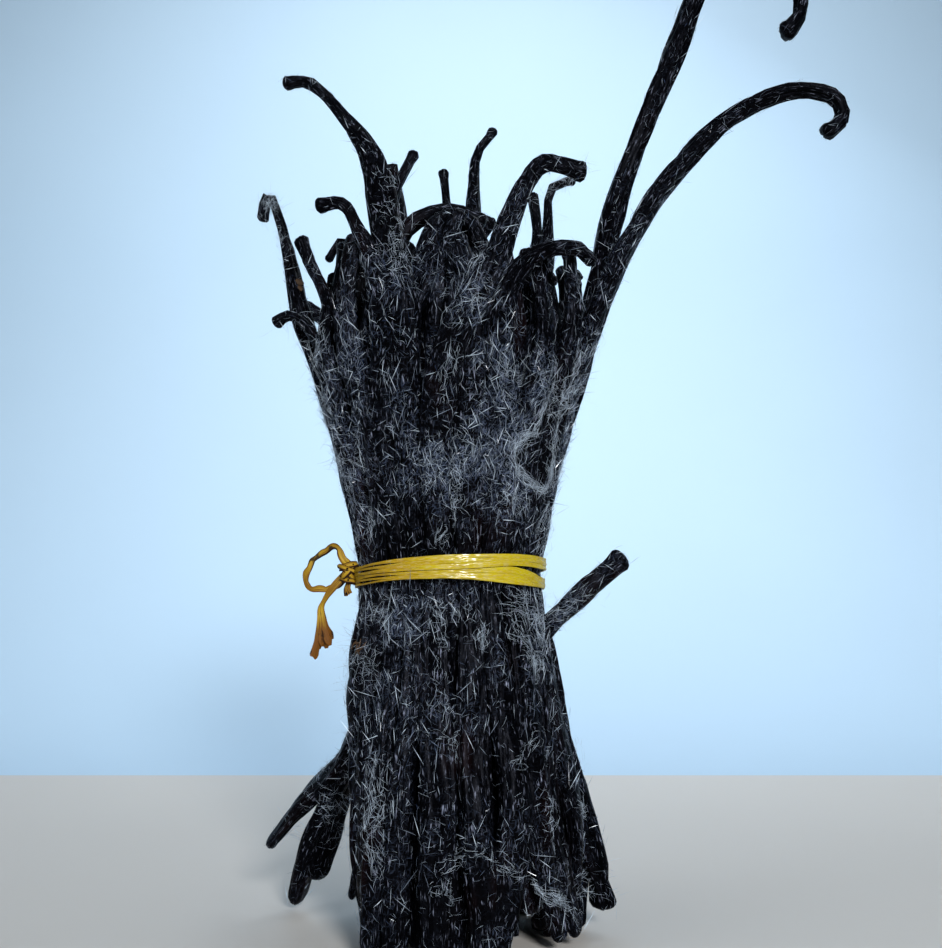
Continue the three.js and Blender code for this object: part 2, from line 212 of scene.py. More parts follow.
def soft_lamp(name, place, aim, size, power, colour, spread):
    lamp = bpy.data.lights.new(name, "AREA")
    lamp.shape = "DISK"
    lamp.size = size
    lamp.energy = power
    lamp.color = colour
    lamp.spread = math.radians(spread)
    stand = bpy.data.objects.new(name, lamp)
    stand.location = place
    stand.rotation_euler = (Vector(aim) - Vector(place)).to_track_quat("-Z", "Y").to_euler()
    bpy.context.scene.collection.objects.link(stand)


for lamp in LAMPS:
    soft_lamp(*lamp)
room = bpy.data.worlds.new("pale_room")
room.use_nodes = True
sky = room.node_tree.nodes["Background"]
sky.inputs["Color"].default_value = SKY_COLOUR
sky.inputs["Strength"].default_value = SKY_STRENGTH
bpy.context.scene.world = room
bpy.context.scene.view_settings.view_transform = "Standard"
print(len(LAMPS), "lamps and a dim sky")

# %% [markdown]
# ## Where the pods stand
# The pods stand in four rings, one inside the other, round a waist that the tie pulls in. Each pod has
# its own width, drift and curl, drawn from a small generator that always gives the same numbers. The
# sizes and the order of the draws are those of the solids, so each fine pod here lies where its plain
# one does. Lengths are in millimetres, and angles in degrees.

# %% Sizes of the bundle
MM = 0.001
TIE_HEIGHT = 66
WAIST_RADIUS = 17.3
DEPTH_SHARE = 0.86  # how deep the bundle is for its width
CROWN_FLARE, CROWN_REACH = 11.2, 51  # how far it opens above the tie, and over what height
FOOT_FLARE, FOOT_REACH = 9.3, 60  # and how far below it
UPRIGHT_LEFT = 12.8  # the foot's left side stays this close to the middle
RINGS = [(24, 1.0), (17, 0.72), (11, 0.45), (5, 0.2)]  # pods in a ring, and its share of the outline
CROWN_SPREAD = 0.5  # how much more an inner ring opens towards the crown
RIM_HEIGHT, DOME, BACK_RISE, BEHIND = 121, 10, 8, 0.3  # the crown: rim, rise inwards and at the back
BODY_HEIGHTS = [22, 44, TIE_HEIGHT, 88, 106]  # where a pod's way follows the outline
END_ROOM, SHUT_REACH = 8, 30
NOTCH_AT, NOTCH_SPAN, NOTCH_LIFT = 318, 28, 6  # inner pods end higher on one side of the foot

# %% Sizes of a pod
POD_WIDTH, POD_THICKNESS, THICKEST, SIDE_GAP = (4.9, 5.9), 3.3, 4.3, 0.2
NECK_WIDTH, NECK_LENGTH, STIFF_NECK, NECK_ROUNDNESS = (2.4, 3.6), 24, 8, 0.88
KNOB, KNOB_LENGTH = 0.3, 3  # the swelling at the stem end
HEEL_LENGTH, HEEL, STAND = 18, 0.72, (-1.5, 2.5)  # the blossom end: taper, and height of its tip
DRIFT, PROUD = (-5, 5), (-0.5, 0.6)  # how far it strays round the bundle and out of its ring
RIM_UNEVEN, BEND, BACK_BEND, COMPASS, CURL = (-4, 3), (6, 22), (0, 100), (-60, 60), (12, 20)

# %% [markdown]
# Some stem ends stand out of the crown and some blossom ends splay from the foot. Each of these is named
# by its ring and its place in it. It has its own way through the air, point by point, and its own sizes
# where they are special.

# %% Pods that stand out
CROWNS = {
    (0, 0): (dict(width=6.1, neck=3, thins=76), [
        (29.5, 1, 127), (32.7, -4, 139), (39.9, -9, 157), (46.8, -15, 174), (50, -17, 182), (57, -18, 187),
        (63.5, -18, 182), (66.5, -18, 173), (65.5, -18, 168.5), (62.5, -18, 165.5)]),
    (0, 23): (dict(width=5.5, neck=2.8, thins=64), [
        (32, -11, 124), (36.5, -13, 132), (41, -15, 138), (51.5, -20, 147.5), (62, -24, 151),
        (69, -25, 149), (70.5, -25, 145.5), (67, -25, 142)]),
    (0, 17): (dict(width=5.7, neck=2.4, thins=46), [
        (-8.5, -21, 113), (-10.5, -19, 123), (-12.5, -16, 134), (-15, -14, 143), (-20, -10, 152),
        (-24.5, -9, 158), (-28.5, -8, 161.5), (-33, -8, 161)]),
    (0, 16): (dict(width=5.3, neck=2.2, thins=32), [
        (-12, -20, 114), (-16, -18, 126), (-20, -16, 133), (-25, -15, 133)]),
    (0, 12): (dict(neck=2.1, thins=34), [(-29.5, 0, 116), (-34, 5, 134), (-38, 7, 144), (-39, 7, 138.5)]),
    (0, 14): (dict(neck=2.3, thins=32), [(-23.5, -8, 117), (-27, -7, 125), (-29, -7, 130)]),
    (0, 13): (dict(neck=1.9, thins=28), [(-27, -5, 112), (-31, -5, 115), (-34, -5, 113)]),
    (0, 18): (dict(width=5.4, neck=2.8, thins=36), [
        (1, -24, 104), (7, -26, 116), (11, -24, 128), (17, -22, 138), (25, -20, 137)]),
    (0, 20): (dict(neck=2.7, thins=34), [(10, -22, 113), (16, -19, 122), (23, -15, 125), (27, -10, 124)]),
    (1, 12): (dict(neck=2.5), [(-5, -17, 118), (-2, -13, 131), (3, -12, 132), (6, -12, 126)]),
    (2, 6): (dict(neck=3), [(-12, -5, 124), (-8, -5, 133), (-1, -5, 136), (7, -4, 134)]),
    (1, 7): (dict(neck=2.4), [(-13, 8, 126), (-11, 8, 140), (-13, 12, 153)]),
    (2, 5): (dict(neck=2.1), [(-11, 5, 128), (-12, 6, 143), (-7.5, 6, 153.5)]),
    (2, 3): (dict(neck=1.7), [(-1, 11, 128), (-1, 13, 143), (-2, 14, 153)]),
    (3, 0): (dict(neck=2.1), [(5, 1, 128), (4.5, 3, 144), (5.5, 4, 152), (9, 4, 157.5)]),
    (1, 2): (dict(neck=2), [(16, 11, 124), (18, 12, 138), (17, 12, 147)]),
    (1, 1): (dict(neck=1.9), [(18, 8, 122), (20, 10, 138), (21, 10, 147), (26, 10, 149)]),
    (1, 8): (dict(neck=1.7), [(-18, 6, 120), (-19, 9, 129), (-22.5, 10, 136), (-26, 10, 131)]),
}
FEET = {
    (0, 12): (dict(heel=0.58), [(-37, 21, 12), (-31, 17, 19), (-18.8, 9, 33), (-15.5, 3, 47)]),
    (0, 11): (dict(heel=0.8), [(-31, 20, 1), (-27, 16, 15), (-18.2, 10, 32), (-15, 6, 46)]),
    (0, 10): (dict(heel=0.8), [(-27, 18, 6), (-23, 16, 19)]),
    (1, 8): (dict(heel=0.4), [(-18.8, 10, 4), (-16.6, 9, 14), (-12, 4, 30)]),
    (0, 20): (dict(heel=0.8), [(7.5, -20.5, -1)]),
    (0, 21): (dict(heel=0.55), [(19.4, -12, 2), (15.5, -14, 18)]),
    (0, 22): (dict(heel=0.55), [(22.3, -9, 2), (18, -11, 19)]),
    (0, 23): (dict(heel=0.5), [(23, -4, 8)]),
    (0, 0): (dict(heel=1.05), [(28.8, 3, 4), (25.6, 1, 18), (21.8, 0, 31), (19.3, 0, 44)]),
}
STRAY = dict(width=3.7, thickness=3.1, way=[(6, 2, 41), (17, -2, 54), (26, -2, 63), (33, -2, 69)])


# %% The bundle's outline
def smooth(value):
    held = np.clip(value, 0, 1)
    return held * held * (3 - 2 * held)


def mix(low, high, share):
    return low + (high - low) * share


def outline(height):
    """Half the bundle's width at a height."""
    above = np.asarray(height, float) - TIE_HEIGHT
    crown = CROWN_FLARE * smooth(above / CROWN_REACH)
    foot = FOOT_FLARE * smooth(-above / FOOT_REACH)
    return WAIST_RADIUS + crown + foot


# %% Draws
class Draws:
    """The generator of Park and Miller, which gives the same numbers in every language."""

    def __init__(self, seed):
        self.state = seed

    def between(self, low, high):
        self.state = self.state * 48271 % 2147483647
        return low + (high - low) * self.state / 2147483647


# %% A pod in the bundle
def share_at(pod, height):
    """How far out a pod stands at a height, as a share of the outline."""
    return pod["share"] ** (1 - CROWN_SPREAD * smooth((height - TIE_HEIGHT) / CROWN_REACH))


def outward(azimuth):
    """The direction straight out of the bundle at a turn round it."""
    way = np.array([DEPTH_SHARE * math.cos(azimuth), math.sin(azimuth), 0])
    return way / np.linalg.norm(way)


def size_at(pod, height):
    """Width and thickness of a pod in the bundle: where its neighbours squeeze it, it grows thicker."""
    around = (2 * math.pi * (outline(height) - POD_THICKNESS / 2) * share_at(pod, height)
              * math.sqrt((1 + DEPTH_SHARE ** 2) / 2))
    width = np.minimum(pod["width"], around * pod["portion"] - SIDE_GAP)
    return width, np.minimum(THICKEST, pod["width"] * POD_THICKNESS / width)


def body_point(pod, height):
    """A point of a pod's middle line in the bundle."""
    azimuth = pod["azimuth"] + pod["drift"] * (height - TIE_HEIGHT) / CROWN_REACH
    loose = smooth(abs(height - TIE_HEIGHT) / SHUT_REACH)
    inset = size_at(pod, height)[1] / 2 - pod["proud"] * loose
    x = math.cos(azimuth) * outline(height)
    y = math.sin(azimuth) * outline(height) * DEPTH_SHARE
    x, y = np.array([x, y]) - outward(azimuth)[:2] * inset
    if height < TIE_HEIGHT:
        x = max(x, -mix(UPRIGHT_LEFT, WAIST_RADIUS, height / TIE_HEIGHT))
    share = share_at(pod, height)
    return np.array([x * share, y * share, height])


# %% Every pod's own sizes
SEED = 2009
ROOM_SHARE = (0.82, 1.18)  # the room that a pod takes in its ring, against the others'


def make_pods():
    draws = Draws(SEED)
    pods = []
    for ring, (count, share) in enumerate(RINGS):
        weights = [draws.between(*ROOM_SHARE) for _ in range(count)]
        used = -weights[0] / 2
        for slot, weight in enumerate(weights):
            azimuth = 2 * math.pi * (used + weight / 2) / sum(weights)
            used += weight
            depth = math.sin(azimuth)
            pod = dict(ring=ring, slot=slot, share=share, azimuth=azimuth, portion=weight / sum(weights))
            pod["width"] = draws.between(*POD_WIDTH)
            pod["drift"] = math.radians(draws.between(*DRIFT))
            pod["proud"] = draws.between(*PROUD)
            pod["neck"] = draws.between(*NECK_WIDTH)
            pod["thins"] = NECK_LENGTH
            pod["heel"] = HEEL
            rise = DOME * (1 - share) + BACK_RISE * max(depth, 0)
            pod["rim"] = RIM_HEIGHT + rise + draws.between(*RIM_UNEVEN)
            bend = draws.between(*BEND) + (draws.between(*BACK_BEND) if depth > BEHIND else 0)
            pod["bend"] = math.radians(bend)
            turned = 0 if depth > BEHIND else math.pi
            pod["compass"] = azimuth + math.radians(draws.between(*COMPASS)) + turned
            pod["curl"] = draws.between(*CURL)
            pod["stand"] = draws.between(*STAND)
            for special in (CROWNS, FEET):
                pod.update(special.get((ring, slot), ({}, None))[0])
            pods.append(pod)
    return pods


pods = make_pods()
print(len(pods), "pods")

# %% [markdown]
# ## The middle line of a pod
# A pod's points are joined by a centripetal Catmull-Rom curve, which goes through every point and makes
# no loops where two points are close. It is the same curve as in the solids. Most pods end in a plain
# curl at the crown and stand on the table, and those that stand out have their own points.

# %% Smooth ways
LINE_POINTS, SPAN_POINTS = 600, 80  # points on a whole line, and on the curve between two given points


def smooth_way(points, count=LINE_POINTS):
    """Evenly spaced points on a centripetal Catmull-Rom curve, and its length."""
    p = np.array(points, float)
    p = np.vstack([2 * p[0] - p[1], p, 2 * p[-1] - p[-2]])
    gaps = np.maximum(np.sqrt(np.linalg.norm(np.diff(p, axis=0), axis=1)), 1e-4)
    pieces = []
    for k in range(1, len(p) - 2):
        a, b, c, d = p[k - 1:k + 3]
        before, here, after = gaps[k - 1:k + 2]
        leave = ((b - a) / before - (c - a) / (before + here) + (c - b) / here) * here
        arrive = ((c - b) / here - (d - b) / (here + after) + (d - c) / after) * here
        t = np.linspace(0, 1, SPAN_POINTS, endpoint=False)[:, None]
        pieces.append(b + leave * t + (3 * (c - b) - 2 * leave - arrive) * t ** 2
                      + (2 * (b - c) + leave + arrive) * t ** 3)
    fine = np.vstack(pieces + [p[-2:-1]])
    walked = np.concatenate([[0], np.cumsum(np.linalg.norm(np.diff(fine, axis=0), axis=1))])
    even = np.linspace(0, walked[-1], count)
    return np.stack([np.interp(even, walked, fine[:, axis]) for axis in range(3)], 1), walked[-1]


# %% The way of each pod
CROWN_STEPS = 4  # points on a curling stem end
CURL_START = 0.75  # how much of the curl lies below the rim


def ordinary_crown(pod):
    """A stem end that curls over towards its own compass direction."""
    point = body_point(pod, pod["rim"] - CURL_START * pod["curl"])
    way = [point]
    for step in range(1, CROWN_STEPS + 1):
        lean = pod["bend"] * smooth(step / CROWN_STEPS)
        aside = math.sin(lean) * pod["curl"] / CROWN_STEPS
        point = point + np.array([math.cos(pod["compass"]) * aside, math.sin(pod["compass"]) * aside,
                                  math.cos(lean) * pod["curl"] / CROWN_STEPS])
        way.append(point)
    return way


def ordinary_foot(pod):
    """A blossom end that stands on the table, or a little higher over the notch."""
    from_notch = (math.degrees(pod["azimuth"]) - NOTCH_AT) / NOTCH_SPAN
    lift = NOTCH_LIFT * math.exp(-from_notch ** 2) if pod["ring"] else 0
    return [body_point(pod, pod["stand"] + lift)]


def pod_way(pod):
    """A pod's whole middle line, from its blossom end up to its stem end."""
    key = (pod["ring"], pod["slot"])
    top = CROWNS[key][1] if key in CROWNS else ordinary_crown(pod)
    bottom = FEET[key][1] if key in FEET else ordinary_foot(pod)
    body = [body_point(pod, height) for height in BODY_HEIGHTS
            if bottom[-1][2] + END_ROOM < height < top[0][2] - END_ROOM]
    return smooth_way([*bottom, *body, *top])


# %% [markdown]
# ## Where the frost grows
# Vanillin frost isn't even. It is thickest between the tie and the crown and thin beside the tie, where
# the raffia rubbed it off, and it leaves bare patches everywhere. A profile by height and two sizes of
# soft noise give every spot of the bundle its own share of frost. The skin's finish and the modelled
# crystals both read that share, so they thicken together.


# %% Soft patches
LATTICE = 32  # the patches repeat after this many sizes
OFF_CENTRE = 500  # keeps the lattice's numbers positive


def patchy(points, size, salt):
    """Soft patches in space: a number from 0 to 1 for each point, that changes over the given size."""
    lattice = np.random.default_rng(salt).random((LATTICE, LATTICE, LATTICE))
    spot = points / size + OFF_CENTRE
    cell = np.floor(spot).astype(int)
    share = smooth(spot - cell)
    total = np.zeros(len(points))
    for corner in np.ndindex(2, 2, 2):
        weight = np.prod(np.where(corner, share, 1 - share), axis=1)
        total += weight * lattice[tuple(((cell + corner) % LATTICE).T)]
    return total


# %% The share of frost
FROST_HEIGHTS = [0, 10, 22, 45, 55, 62, 70, 75, 84, 100, 112, 122, 134, 190]
FROST = [0.15, 0.16, 0.21, 0.28, 0.68, 0.54, 0.38, 0.48, 0.96, 0.82, 0.48, 0.30, 0.10, 0.04]
BROAD_PATCH, FINE_PATCH = 10.0, 2.6  # sizes of the bare and the frosted patches
FROST_PLACES = [  # middle, how far it reaches each way, and how much more or less frost grows there
    ((6, -17, 88), (13, 10, 12), 0.7), ((21, -12, 90), (5, 8, 12), 1.2), ((4, -15, 56), (14, 8, 5), 0.4),
    ((-12.8, -15, 97), (3.2, 8, 14), -0.9), ((13, -19, 104), (2.2, 8, 5), -0.8),
    ((-7, -16, 80), (3, 8, 6), -0.4), ((-3, -15, 26), (9, 8, 12), -0.4), ((0, 0, 128), (18, 16, 9), -0.3),
    ((-5, -18, 102), (8, 8, 10), 1.3), ((9, -18, 112), (12, 8, 5), 0.8), ((-1, -18, 44), (9, 8, 8), 0.6),
    ((14, -16, 8), (6, 8, 6), 0.9),
]


def frost_at(points):
    """The share of frost, from 0 to 1, at points in millimetres."""
    profile = np.interp(points[:, 2], FROST_HEIGHTS, FROST)
    broad = np.clip(3.0 * patchy(points, BROAD_PATCH, 611) - 0.75, 0.08, 1)
    fine = np.clip(2.8 * patchy(points, FINE_PATCH, 612) - 0.65, 0.15, 1)
    for middle, reach, more in FROST_PLACES:
        profile = profile * (1 + more * np.exp(-(((points - middle) / reach) ** 2).sum(1)))
    return np.minimum(profile * broad * fine, 1)


# %% [markdown]
# ## Joining many small shapes into one piece
# A thousand objects would be slow to handle, so all pods of a kind are one mesh. A small store gathers
# the points and faces of each shape. It also gathers two maps: one measures the skin in millimetres, for
# the grain of the finish, and one lays every shape out on one square without overlaps, for baking. Each
# point carries two numbers as well: a tone, whose meaning is each finish's own, and its share of frost.


# %% A store of points and faces
SHARP_EDGE = 35  # degrees between two faces from which a folded piece shows a crease


class Joined:
    def __init__(self):
        self.points, self.faces, self.grain, self.bake, self.tones = [], [], [], [], []
        self.count = 0

    def add(self, points, faces, grain, bake, tone):
        """faces are rows of 3 or 4 point numbers, and grain and bake hold a pair for each corner."""
        self.points.append(points)
        self.tones.append(np.broadcast_to(tone, len(points)))
        for rows, skin, square in zip(faces, grain, bake):
            self.faces.append(rows + self.count)
            self.grain.append(skin)
            self.bake.append(square)
        self.count += len(points)

    def triangles(self):
        return sum(len(rows) * (rows.shape[1] - 2) for rows in self.faces)

    def make(self, name, material, rough=False, folded=False):
        """One object of all that was added. A rough one has flat faces, a folded one creased edges."""
        mesh = bpy.data.meshes.new(name)
        points = np.concatenate(self.points)
        mesh.vertices.add(self.count)
        mesh.vertices.foreach_set("co", (points * MM).astype(np.float32).ravel())
        corners = np.concatenate([rows.ravel() for rows in self.faces]).astype(np.int32)
        sizes = np.concatenate([np.full(len(rows), rows.shape[1]) for rows in self.faces])
        mesh.loops.add(len(corners))
        mesh.loops.foreach_set("vertex_index", corners)
        mesh.polygons.add(len(sizes))
        mesh.polygons.foreach_set("loop_start", (np.cumsum(sizes) - sizes).astype(np.int32))
        mesh.update(calc_edges=True)
        mesh.polygons.foreach_set("use_smooth", np.full(len(sizes), not rough))
        for layer, pairs in (("Grain", self.grain), ("OFBake", self.bake)):
            pairs = np.concatenate([p.reshape(-1, 2) for p in pairs]).astype(np.float32)
            mesh.uv_layers.new(name=layer, do_init=False).uv.foreach_set("vector", pairs.ravel())
        for layer, values in (("tone", np.concatenate(self.tones)), ("frost", frost_at(points))):
            mesh.attributes.new(layer, "FLOAT", "POINT").data.foreach_set("value", values.astype(np.float32))
        mesh.materials.append(material)
        mesh.validate()
        if folded:
            mesh.set_sharp_from_angle(angle=math.radians(SHARP_EDGE))
        piece = bpy.data.objects.new(name, mesh)
        bpy.context.scene.collection.objects.link(piece)
        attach(piece, "root")
        print(f"{name}: {self.triangles()} triangles")
        return piece


# %% [markdown]
# ## A skin over rings of points
# Pods, ribbons and knots are all skins over rings: a section is carried along a way, and neighbouring
# rings are joined by four-sided faces. Both ends are closed with a fan of triangles.

# %% Skin over rings
BAKE_SIDES, BAKE_ENDS = (0.02, 0.98), (0.01, 0.99)  # the margins a shape keeps in its own column


def skin_faces(rings, sides):
    """Point numbers of the wall's faces, and of the two end fans round the added middle points."""
    ring, side = np.meshgrid(np.arange(rings - 1), np.arange(sides), indexing="ij")
    ring, side = ring.ravel(), side.ravel()
    after = (side + 1) % sides
    wall = np.stack([ring * sides + side, ring * sides + after,
                     (ring + 1) * sides + after, (ring + 1) * sides + side], 1)
    around = np.arange(sides)
    low = np.stack([np.full(sides, rings * sides), (around + 1) % sides, around], 1)
    last = (rings - 1) * sides
    high = np.stack([np.full(sides, rings * sides + 1), last + around, last + (around + 1) % sides], 1)
    return wall, low, high


def add_skin(store, points, along, across, tone=0.5, column=(0, 1), lapped=False):
    """points has one ring of points a row, along says how far up each ring lies, and across is the length
    once round. column is the stretch of the baking square that the skin takes. A lapped skin is a hoop,
    whose last ring meets its first."""
    rings, sides = points.shape[:2]
    wall, low, high = skin_faces(rings + lapped, sides)
    ring, side = np.divmod(wall, sides)
    side[:, 1:3] = side[:, :1] + 1
    reach = np.append(along, 2 * along[-1] - along[-2]) if lapped else along
    turn = side / sides
    skin = np.stack([turn * across, reach[ring]], 2)
    square = np.stack([mix(*column, mix(*BAKE_SIDES, turn)), mix(*BAKE_ENDS, reach[ring] / reach[-1])], 2)
    flat = points.reshape(-1, 3)
    if lapped:
        store.add(flat, [wall % len(flat)], [skin], [square], tone)
        return
    flat = np.vstack([flat, points[0].mean(0), points[-1].mean(0)])
    fans, fan_skins, fan_squares = [wall], [skin], [square]
    for fan, end, nudge in ((low, 0, -BAKE_ENDS[0]), (high, -1, BAKE_ENDS[0])):
        turn = np.stack([np.arange(sides) + 0.5, fan[:, 1] % sides, fan[:, 2] % sides], 1) / sides
        height = np.broadcast_to(along[end], turn.shape)
        fans.append(fan)
        fan_skins.append(np.stack([turn * across, height], 2))
        fan_squares.append(np.stack([mix(*column, mix(*BAKE_SIDES, turn)),
                                     mix(*BAKE_ENDS, height / along[-1]) + np.array([nudge, 0, 0])], 2))
    store.add(flat, fans, fan_skins, fan_squares, tone)


# %% Frames along a way
def carried_frames(way, first):
    """At each point of a way: its direction, a normal that turns as little as it can, and their side."""
    tangents = np.gradient(way, axis=0)
    tangents /= np.linalg.norm(tangents, axis=1)[:, None]
    normals = np.empty_like(way)
    normal = np.array(first, float)
    for k, tangent in enumerate(tangents):
        normal = normal - tangent * normal.dot(tangent)
        normal /= np.linalg.norm(normal)
        normals[k] = normal
    return tangents, normals, np.cross(normals, tangents)


# %% [markdown]
# ## Pods
# A cured pod has lost most of its water, so its skin has fallen into long sharp folds that wander and
# fork. The folds are real geometry here: noise drawn out along the pod is creased by taking its distance
# from the middle, which gives broad soft ridges between narrow valleys. Where pods lie packed, their
# neighbours have pressed them flat, so their section is a rounded oblong and only their necks are round.
# The thin necks have dried hardest and are crumpled as well. Both ends are closed with a wrinkled dome.


# %% Folds in the skin
BROAD_FOLDS, FINE_FOLDS = (0.95, 11, 22), (0.54, 21, 8)  # how deep, how many around, how long in mm
CRUMPLES = (0.45, 7, 2.6)
DENTS, DENT_LENGTH = 0.8, 9


def creases(turn, along, columns, length, salt):
    """Folds in the skin, from -0.5 in a valley to 0.5 on a ridge. columns is how many fit around."""
    radius = columns / (2 * math.pi)
    spot = np.stack([np.cos(turn) * radius, np.sin(turn) * radius, along / length + salt * 7.3], -1)
    noise = patchy(spot.reshape(-1, 3), 1.0, salt).reshape(turn.shape)
    return np.sqrt(np.abs(2 * noise - 1)) - 0.5


def skin_relief(turn, reach, number, thin):
    """Height of the lengthwise folds at each point of the skin, and of all relief together."""
    slow = 0.5 * np.sin(reach / 23 + number)
    folds = 0
    for (deep, columns, length), way_round, salt in ((BROAD_FOLDS, slow, 11), (FINE_FOLDS, -slow, 71)):
        folds = folds + deep * creases(turn + way_round, reach, columns, length, number + salt)
    spot = np.stack([np.cos(turn) + number * 5.1, np.sin(turn), reach / DENT_LENGTH], -1)
    dents = patchy(spot.reshape(-1, 3), 1.0, number + 131).reshape(turn.shape) - 0.5
    deep, columns, length = CRUMPLES
    crumpled = deep * creases(turn, reach, columns, length, number + 191) * thin[:, None]
    return folds, folds + DENTS * dents + crumpled


# %% Girth of a pod
PACKED = 1.06  # how much wider than its solid a pod is, which shuts the gap to its neighbour
CROWN_LOOSE = [104, 118]  # between these heights the pods part from one another
LIP_LENGTH = 5.6  # how far up from a flaring end the pod is thinnest


def girth(pod, heights, along, from_tip):
    """Width and thickness along a pod, and how much of it is neck: 0 in its body and 1 at its stem end."""
    width, thickness = pod["size"](heights)
    width = width * mix(PACKED, 1, smooth((heights - CROWN_LOOSE[0]) / np.ptp(CROWN_LOOSE)))
    thin = 1 - smooth((from_tip - STIFF_NECK) / (pod["thins"] - STIFF_NECK))
    swell = mix(pod["heel"], 1, smooth(along / HEEL_LENGTH))
    swell = swell * (1 + KNOB * (1 - smooth(from_tip / KNOB_LENGTH)))
    swell = swell * (1 - pod["lip"] * np.exp(-((along - LIP_LENGTH) / (0.45 * LIP_LENGTH)) ** 2))
    width = mix(width, pod["neck"], thin)
    thickness = mix(thickness, pod["neck"] * NECK_ROUNDNESS, thin)
    return width * swell, thickness * swell, thin


# %% Skin of a pod
TIP_RINGS = np.array([0.03, 0.25, 0.8, 1.6, 2.6]), np.array([2.2, 1.4, 0.7, 0.25, 0.03])
DOME_SHARE, LEAST_DOME = 0.42, 0.4  # length of the dome at an end: share of the thickness, and least
PRESSED = 0.74  # how oblong a packed pod is: 1 would be round
WANDER = 0.45  # how far a pod snakes to each side
CINCH, CINCH_REACH = 0.4, 3.4  # how far the tie sinks into the pods, and over what height


def rounded(turn, flat):
    """Cosine of a turn round a section that is a circle at 1 and nears an oblong below."""
    return np.sign(turn) * np.abs(turn) ** flat


def pod_line(pod, number, rings):
    """The ring middles of a pod, close together at both ends, and how far along it each one lies."""
    way, length = pod["line"]
    first, last = TIP_RINGS
    between = np.linspace(first[-1], length - last[0], rings - 8)
    along = np.concatenate([first[:-1], between, length - last[1:]])
    line = np.stack([np.interp(along, np.linspace(0, length, len(way)), way[:, a]) for a in range(3)], 1)
    _, normals, sideways = carried_frames(line, pod["face"])
    wander = WANDER * np.sin(along / 8.5 + 2.4 * number) * smooth(along / 20) * smooth((length - along) / 40)
    return line + sideways * wander[:, None], normals, sideways, along, length - along


def pod_skin(pod, number, sides, rings):
    """Points of a pod's skin, ring by ring, with the length along it and how high each point's fold is."""
    line, normals, sideways, along, from_tip = pod_line(pod, number, rings)
    width, thickness, thin = girth(pod, line[:, 2], along, from_tip)
    turn = 2 * math.pi * np.arange(sides) / sides + np.zeros((rings, 1))
    folds, relief = skin_relief(turn, along[:, None] + np.zeros((1, sides)), number, thin)
    grown = relief * np.minimum(width, thickness)[:, None] / POD_THICKNESS
    end = np.minimum(along * pod["blunt"], from_tip) / np.maximum(thickness * DOME_SHARE, LEAST_DOME)
    closing = np.sqrt(np.clip(1 - (1 - np.clip(end, 0, 1)) ** 2, 0, 1))[:, None]
    cinched = CINCH * np.exp(-((line[:, 2] - TIE_HEIGHT) / CINCH_REACH) ** 2)[:, None]
    half_wide = (width[:, None] / 2 + grown) * closing
    half_thick = (thickness[:, None] / 2 + grown * (1 - cinched) - cinched) * closing
    flat = mix(PRESSED, 1, np.maximum(thin, 1 - closing[:, 0]))[:, None]
    points = (line[:, None] + sideways[:, None] * (rounded(np.cos(turn), flat) * half_wide)[..., None]
              + normals[:, None] * (rounded(np.sin(turn), flat) * half_thick)[..., None])
    points[..., 2] = np.maximum(points[..., 2], 0)
    return points, along, np.clip(0.5 + folds, 0, 1)


# %% Each pod's line, face and ends
BLUNT, POINTED, FLARED = 0.75, 0.44, 1.09  # how suddenly a blossom end is closed
FLARE = 0.34  # how much the flaring end is drawn in above it, where the dried blossom begins
STRAY_NECK = 10

for pod in pods:
    pod["line"] = pod_way(pod)
    pod["face"] = outward(pod["azimuth"])
    pod["size"] = lambda height, pod=pod: size_at(pod, np.minimum(height, RIM_HEIGHT))
    pod["blunt"] = POINTED if (pod["ring"], pod["slot"]) in FEET else BLUNT
    pod["lip"] = 0
pods[0].update(lip=FLARE, blunt=FLARED)
stray = dict(ring=0, slot=-1, azimuth=0, neck=STRAY["width"], thins=STRAY_NECK, heel=1, lip=0, blunt=BLUNT,
             line=smooth_way(STRAY["way"]), face=(0, -1, 0),
             size=lambda height: (np.full(len(height), STRAY["width"]),
                                  np.full(len(height), STRAY["thickness"])))
print("middle lines from", round(min(p["line"][1] for p in pods)), "to",
      round(max(p["line"][1] for p in pods)), "mm long")

# %% [markdown]
# The skin of a cured pod is almost black, with oxblood where it is thin, and it is oily: its ridges carry
# broken glints, partly from the lamp and partly painted into the skin's colour as pale streaks along the
# ridges, and its folds are dull. Fine grain runs along it. Much of the vanillin on it is too fine
# to model. The finish draws that part as short thin marks, in four directions that cross like felted
# needles. Noise squeezed across and stretched along makes one direction, and turning the map first makes
# the others. A share, such as how much is painted glint, is always a noise less a threshold, times a
# steepness.


# %% Colours and marks of the pods' skin
BLACK_SKIN, OXBLOOD = (0.0005, 0.0005, 0.0009, 1), (0.016, 0.0055, 0.0040, 1)
# The glint colour is a painted highlight in the skin's colour. Haze and marks are the frost's own colour.
PAINTED_GLINT, HAZE, MARK = (0.26, 0.285, 0.385, 1), (0.052, 0.068, 0.105, 1), (0.115, 0.15, 0.24, 1)
MARKS = [(3, 5.2, 0.6), (33, 5.5, 0.7), (-38, 5.5, 0.7), (84, 5.0, 0.8)]  # degrees, marks per mm each way
MARK_FROM, MARK_EDGE = 0.615, 11.0


def thin_marks(finish, grain, degrees, across, along):
    """Short pale marks that lie in one direction on the skin."""
    turned = finish.node("Mapping", None, {"Vector": grain, "Rotation": (0, 0, math.radians(degrees))})
    return ((finish.noise(turned, (across, along, 1), 1) - MARK_FROM) * MARK_EDGE).held()


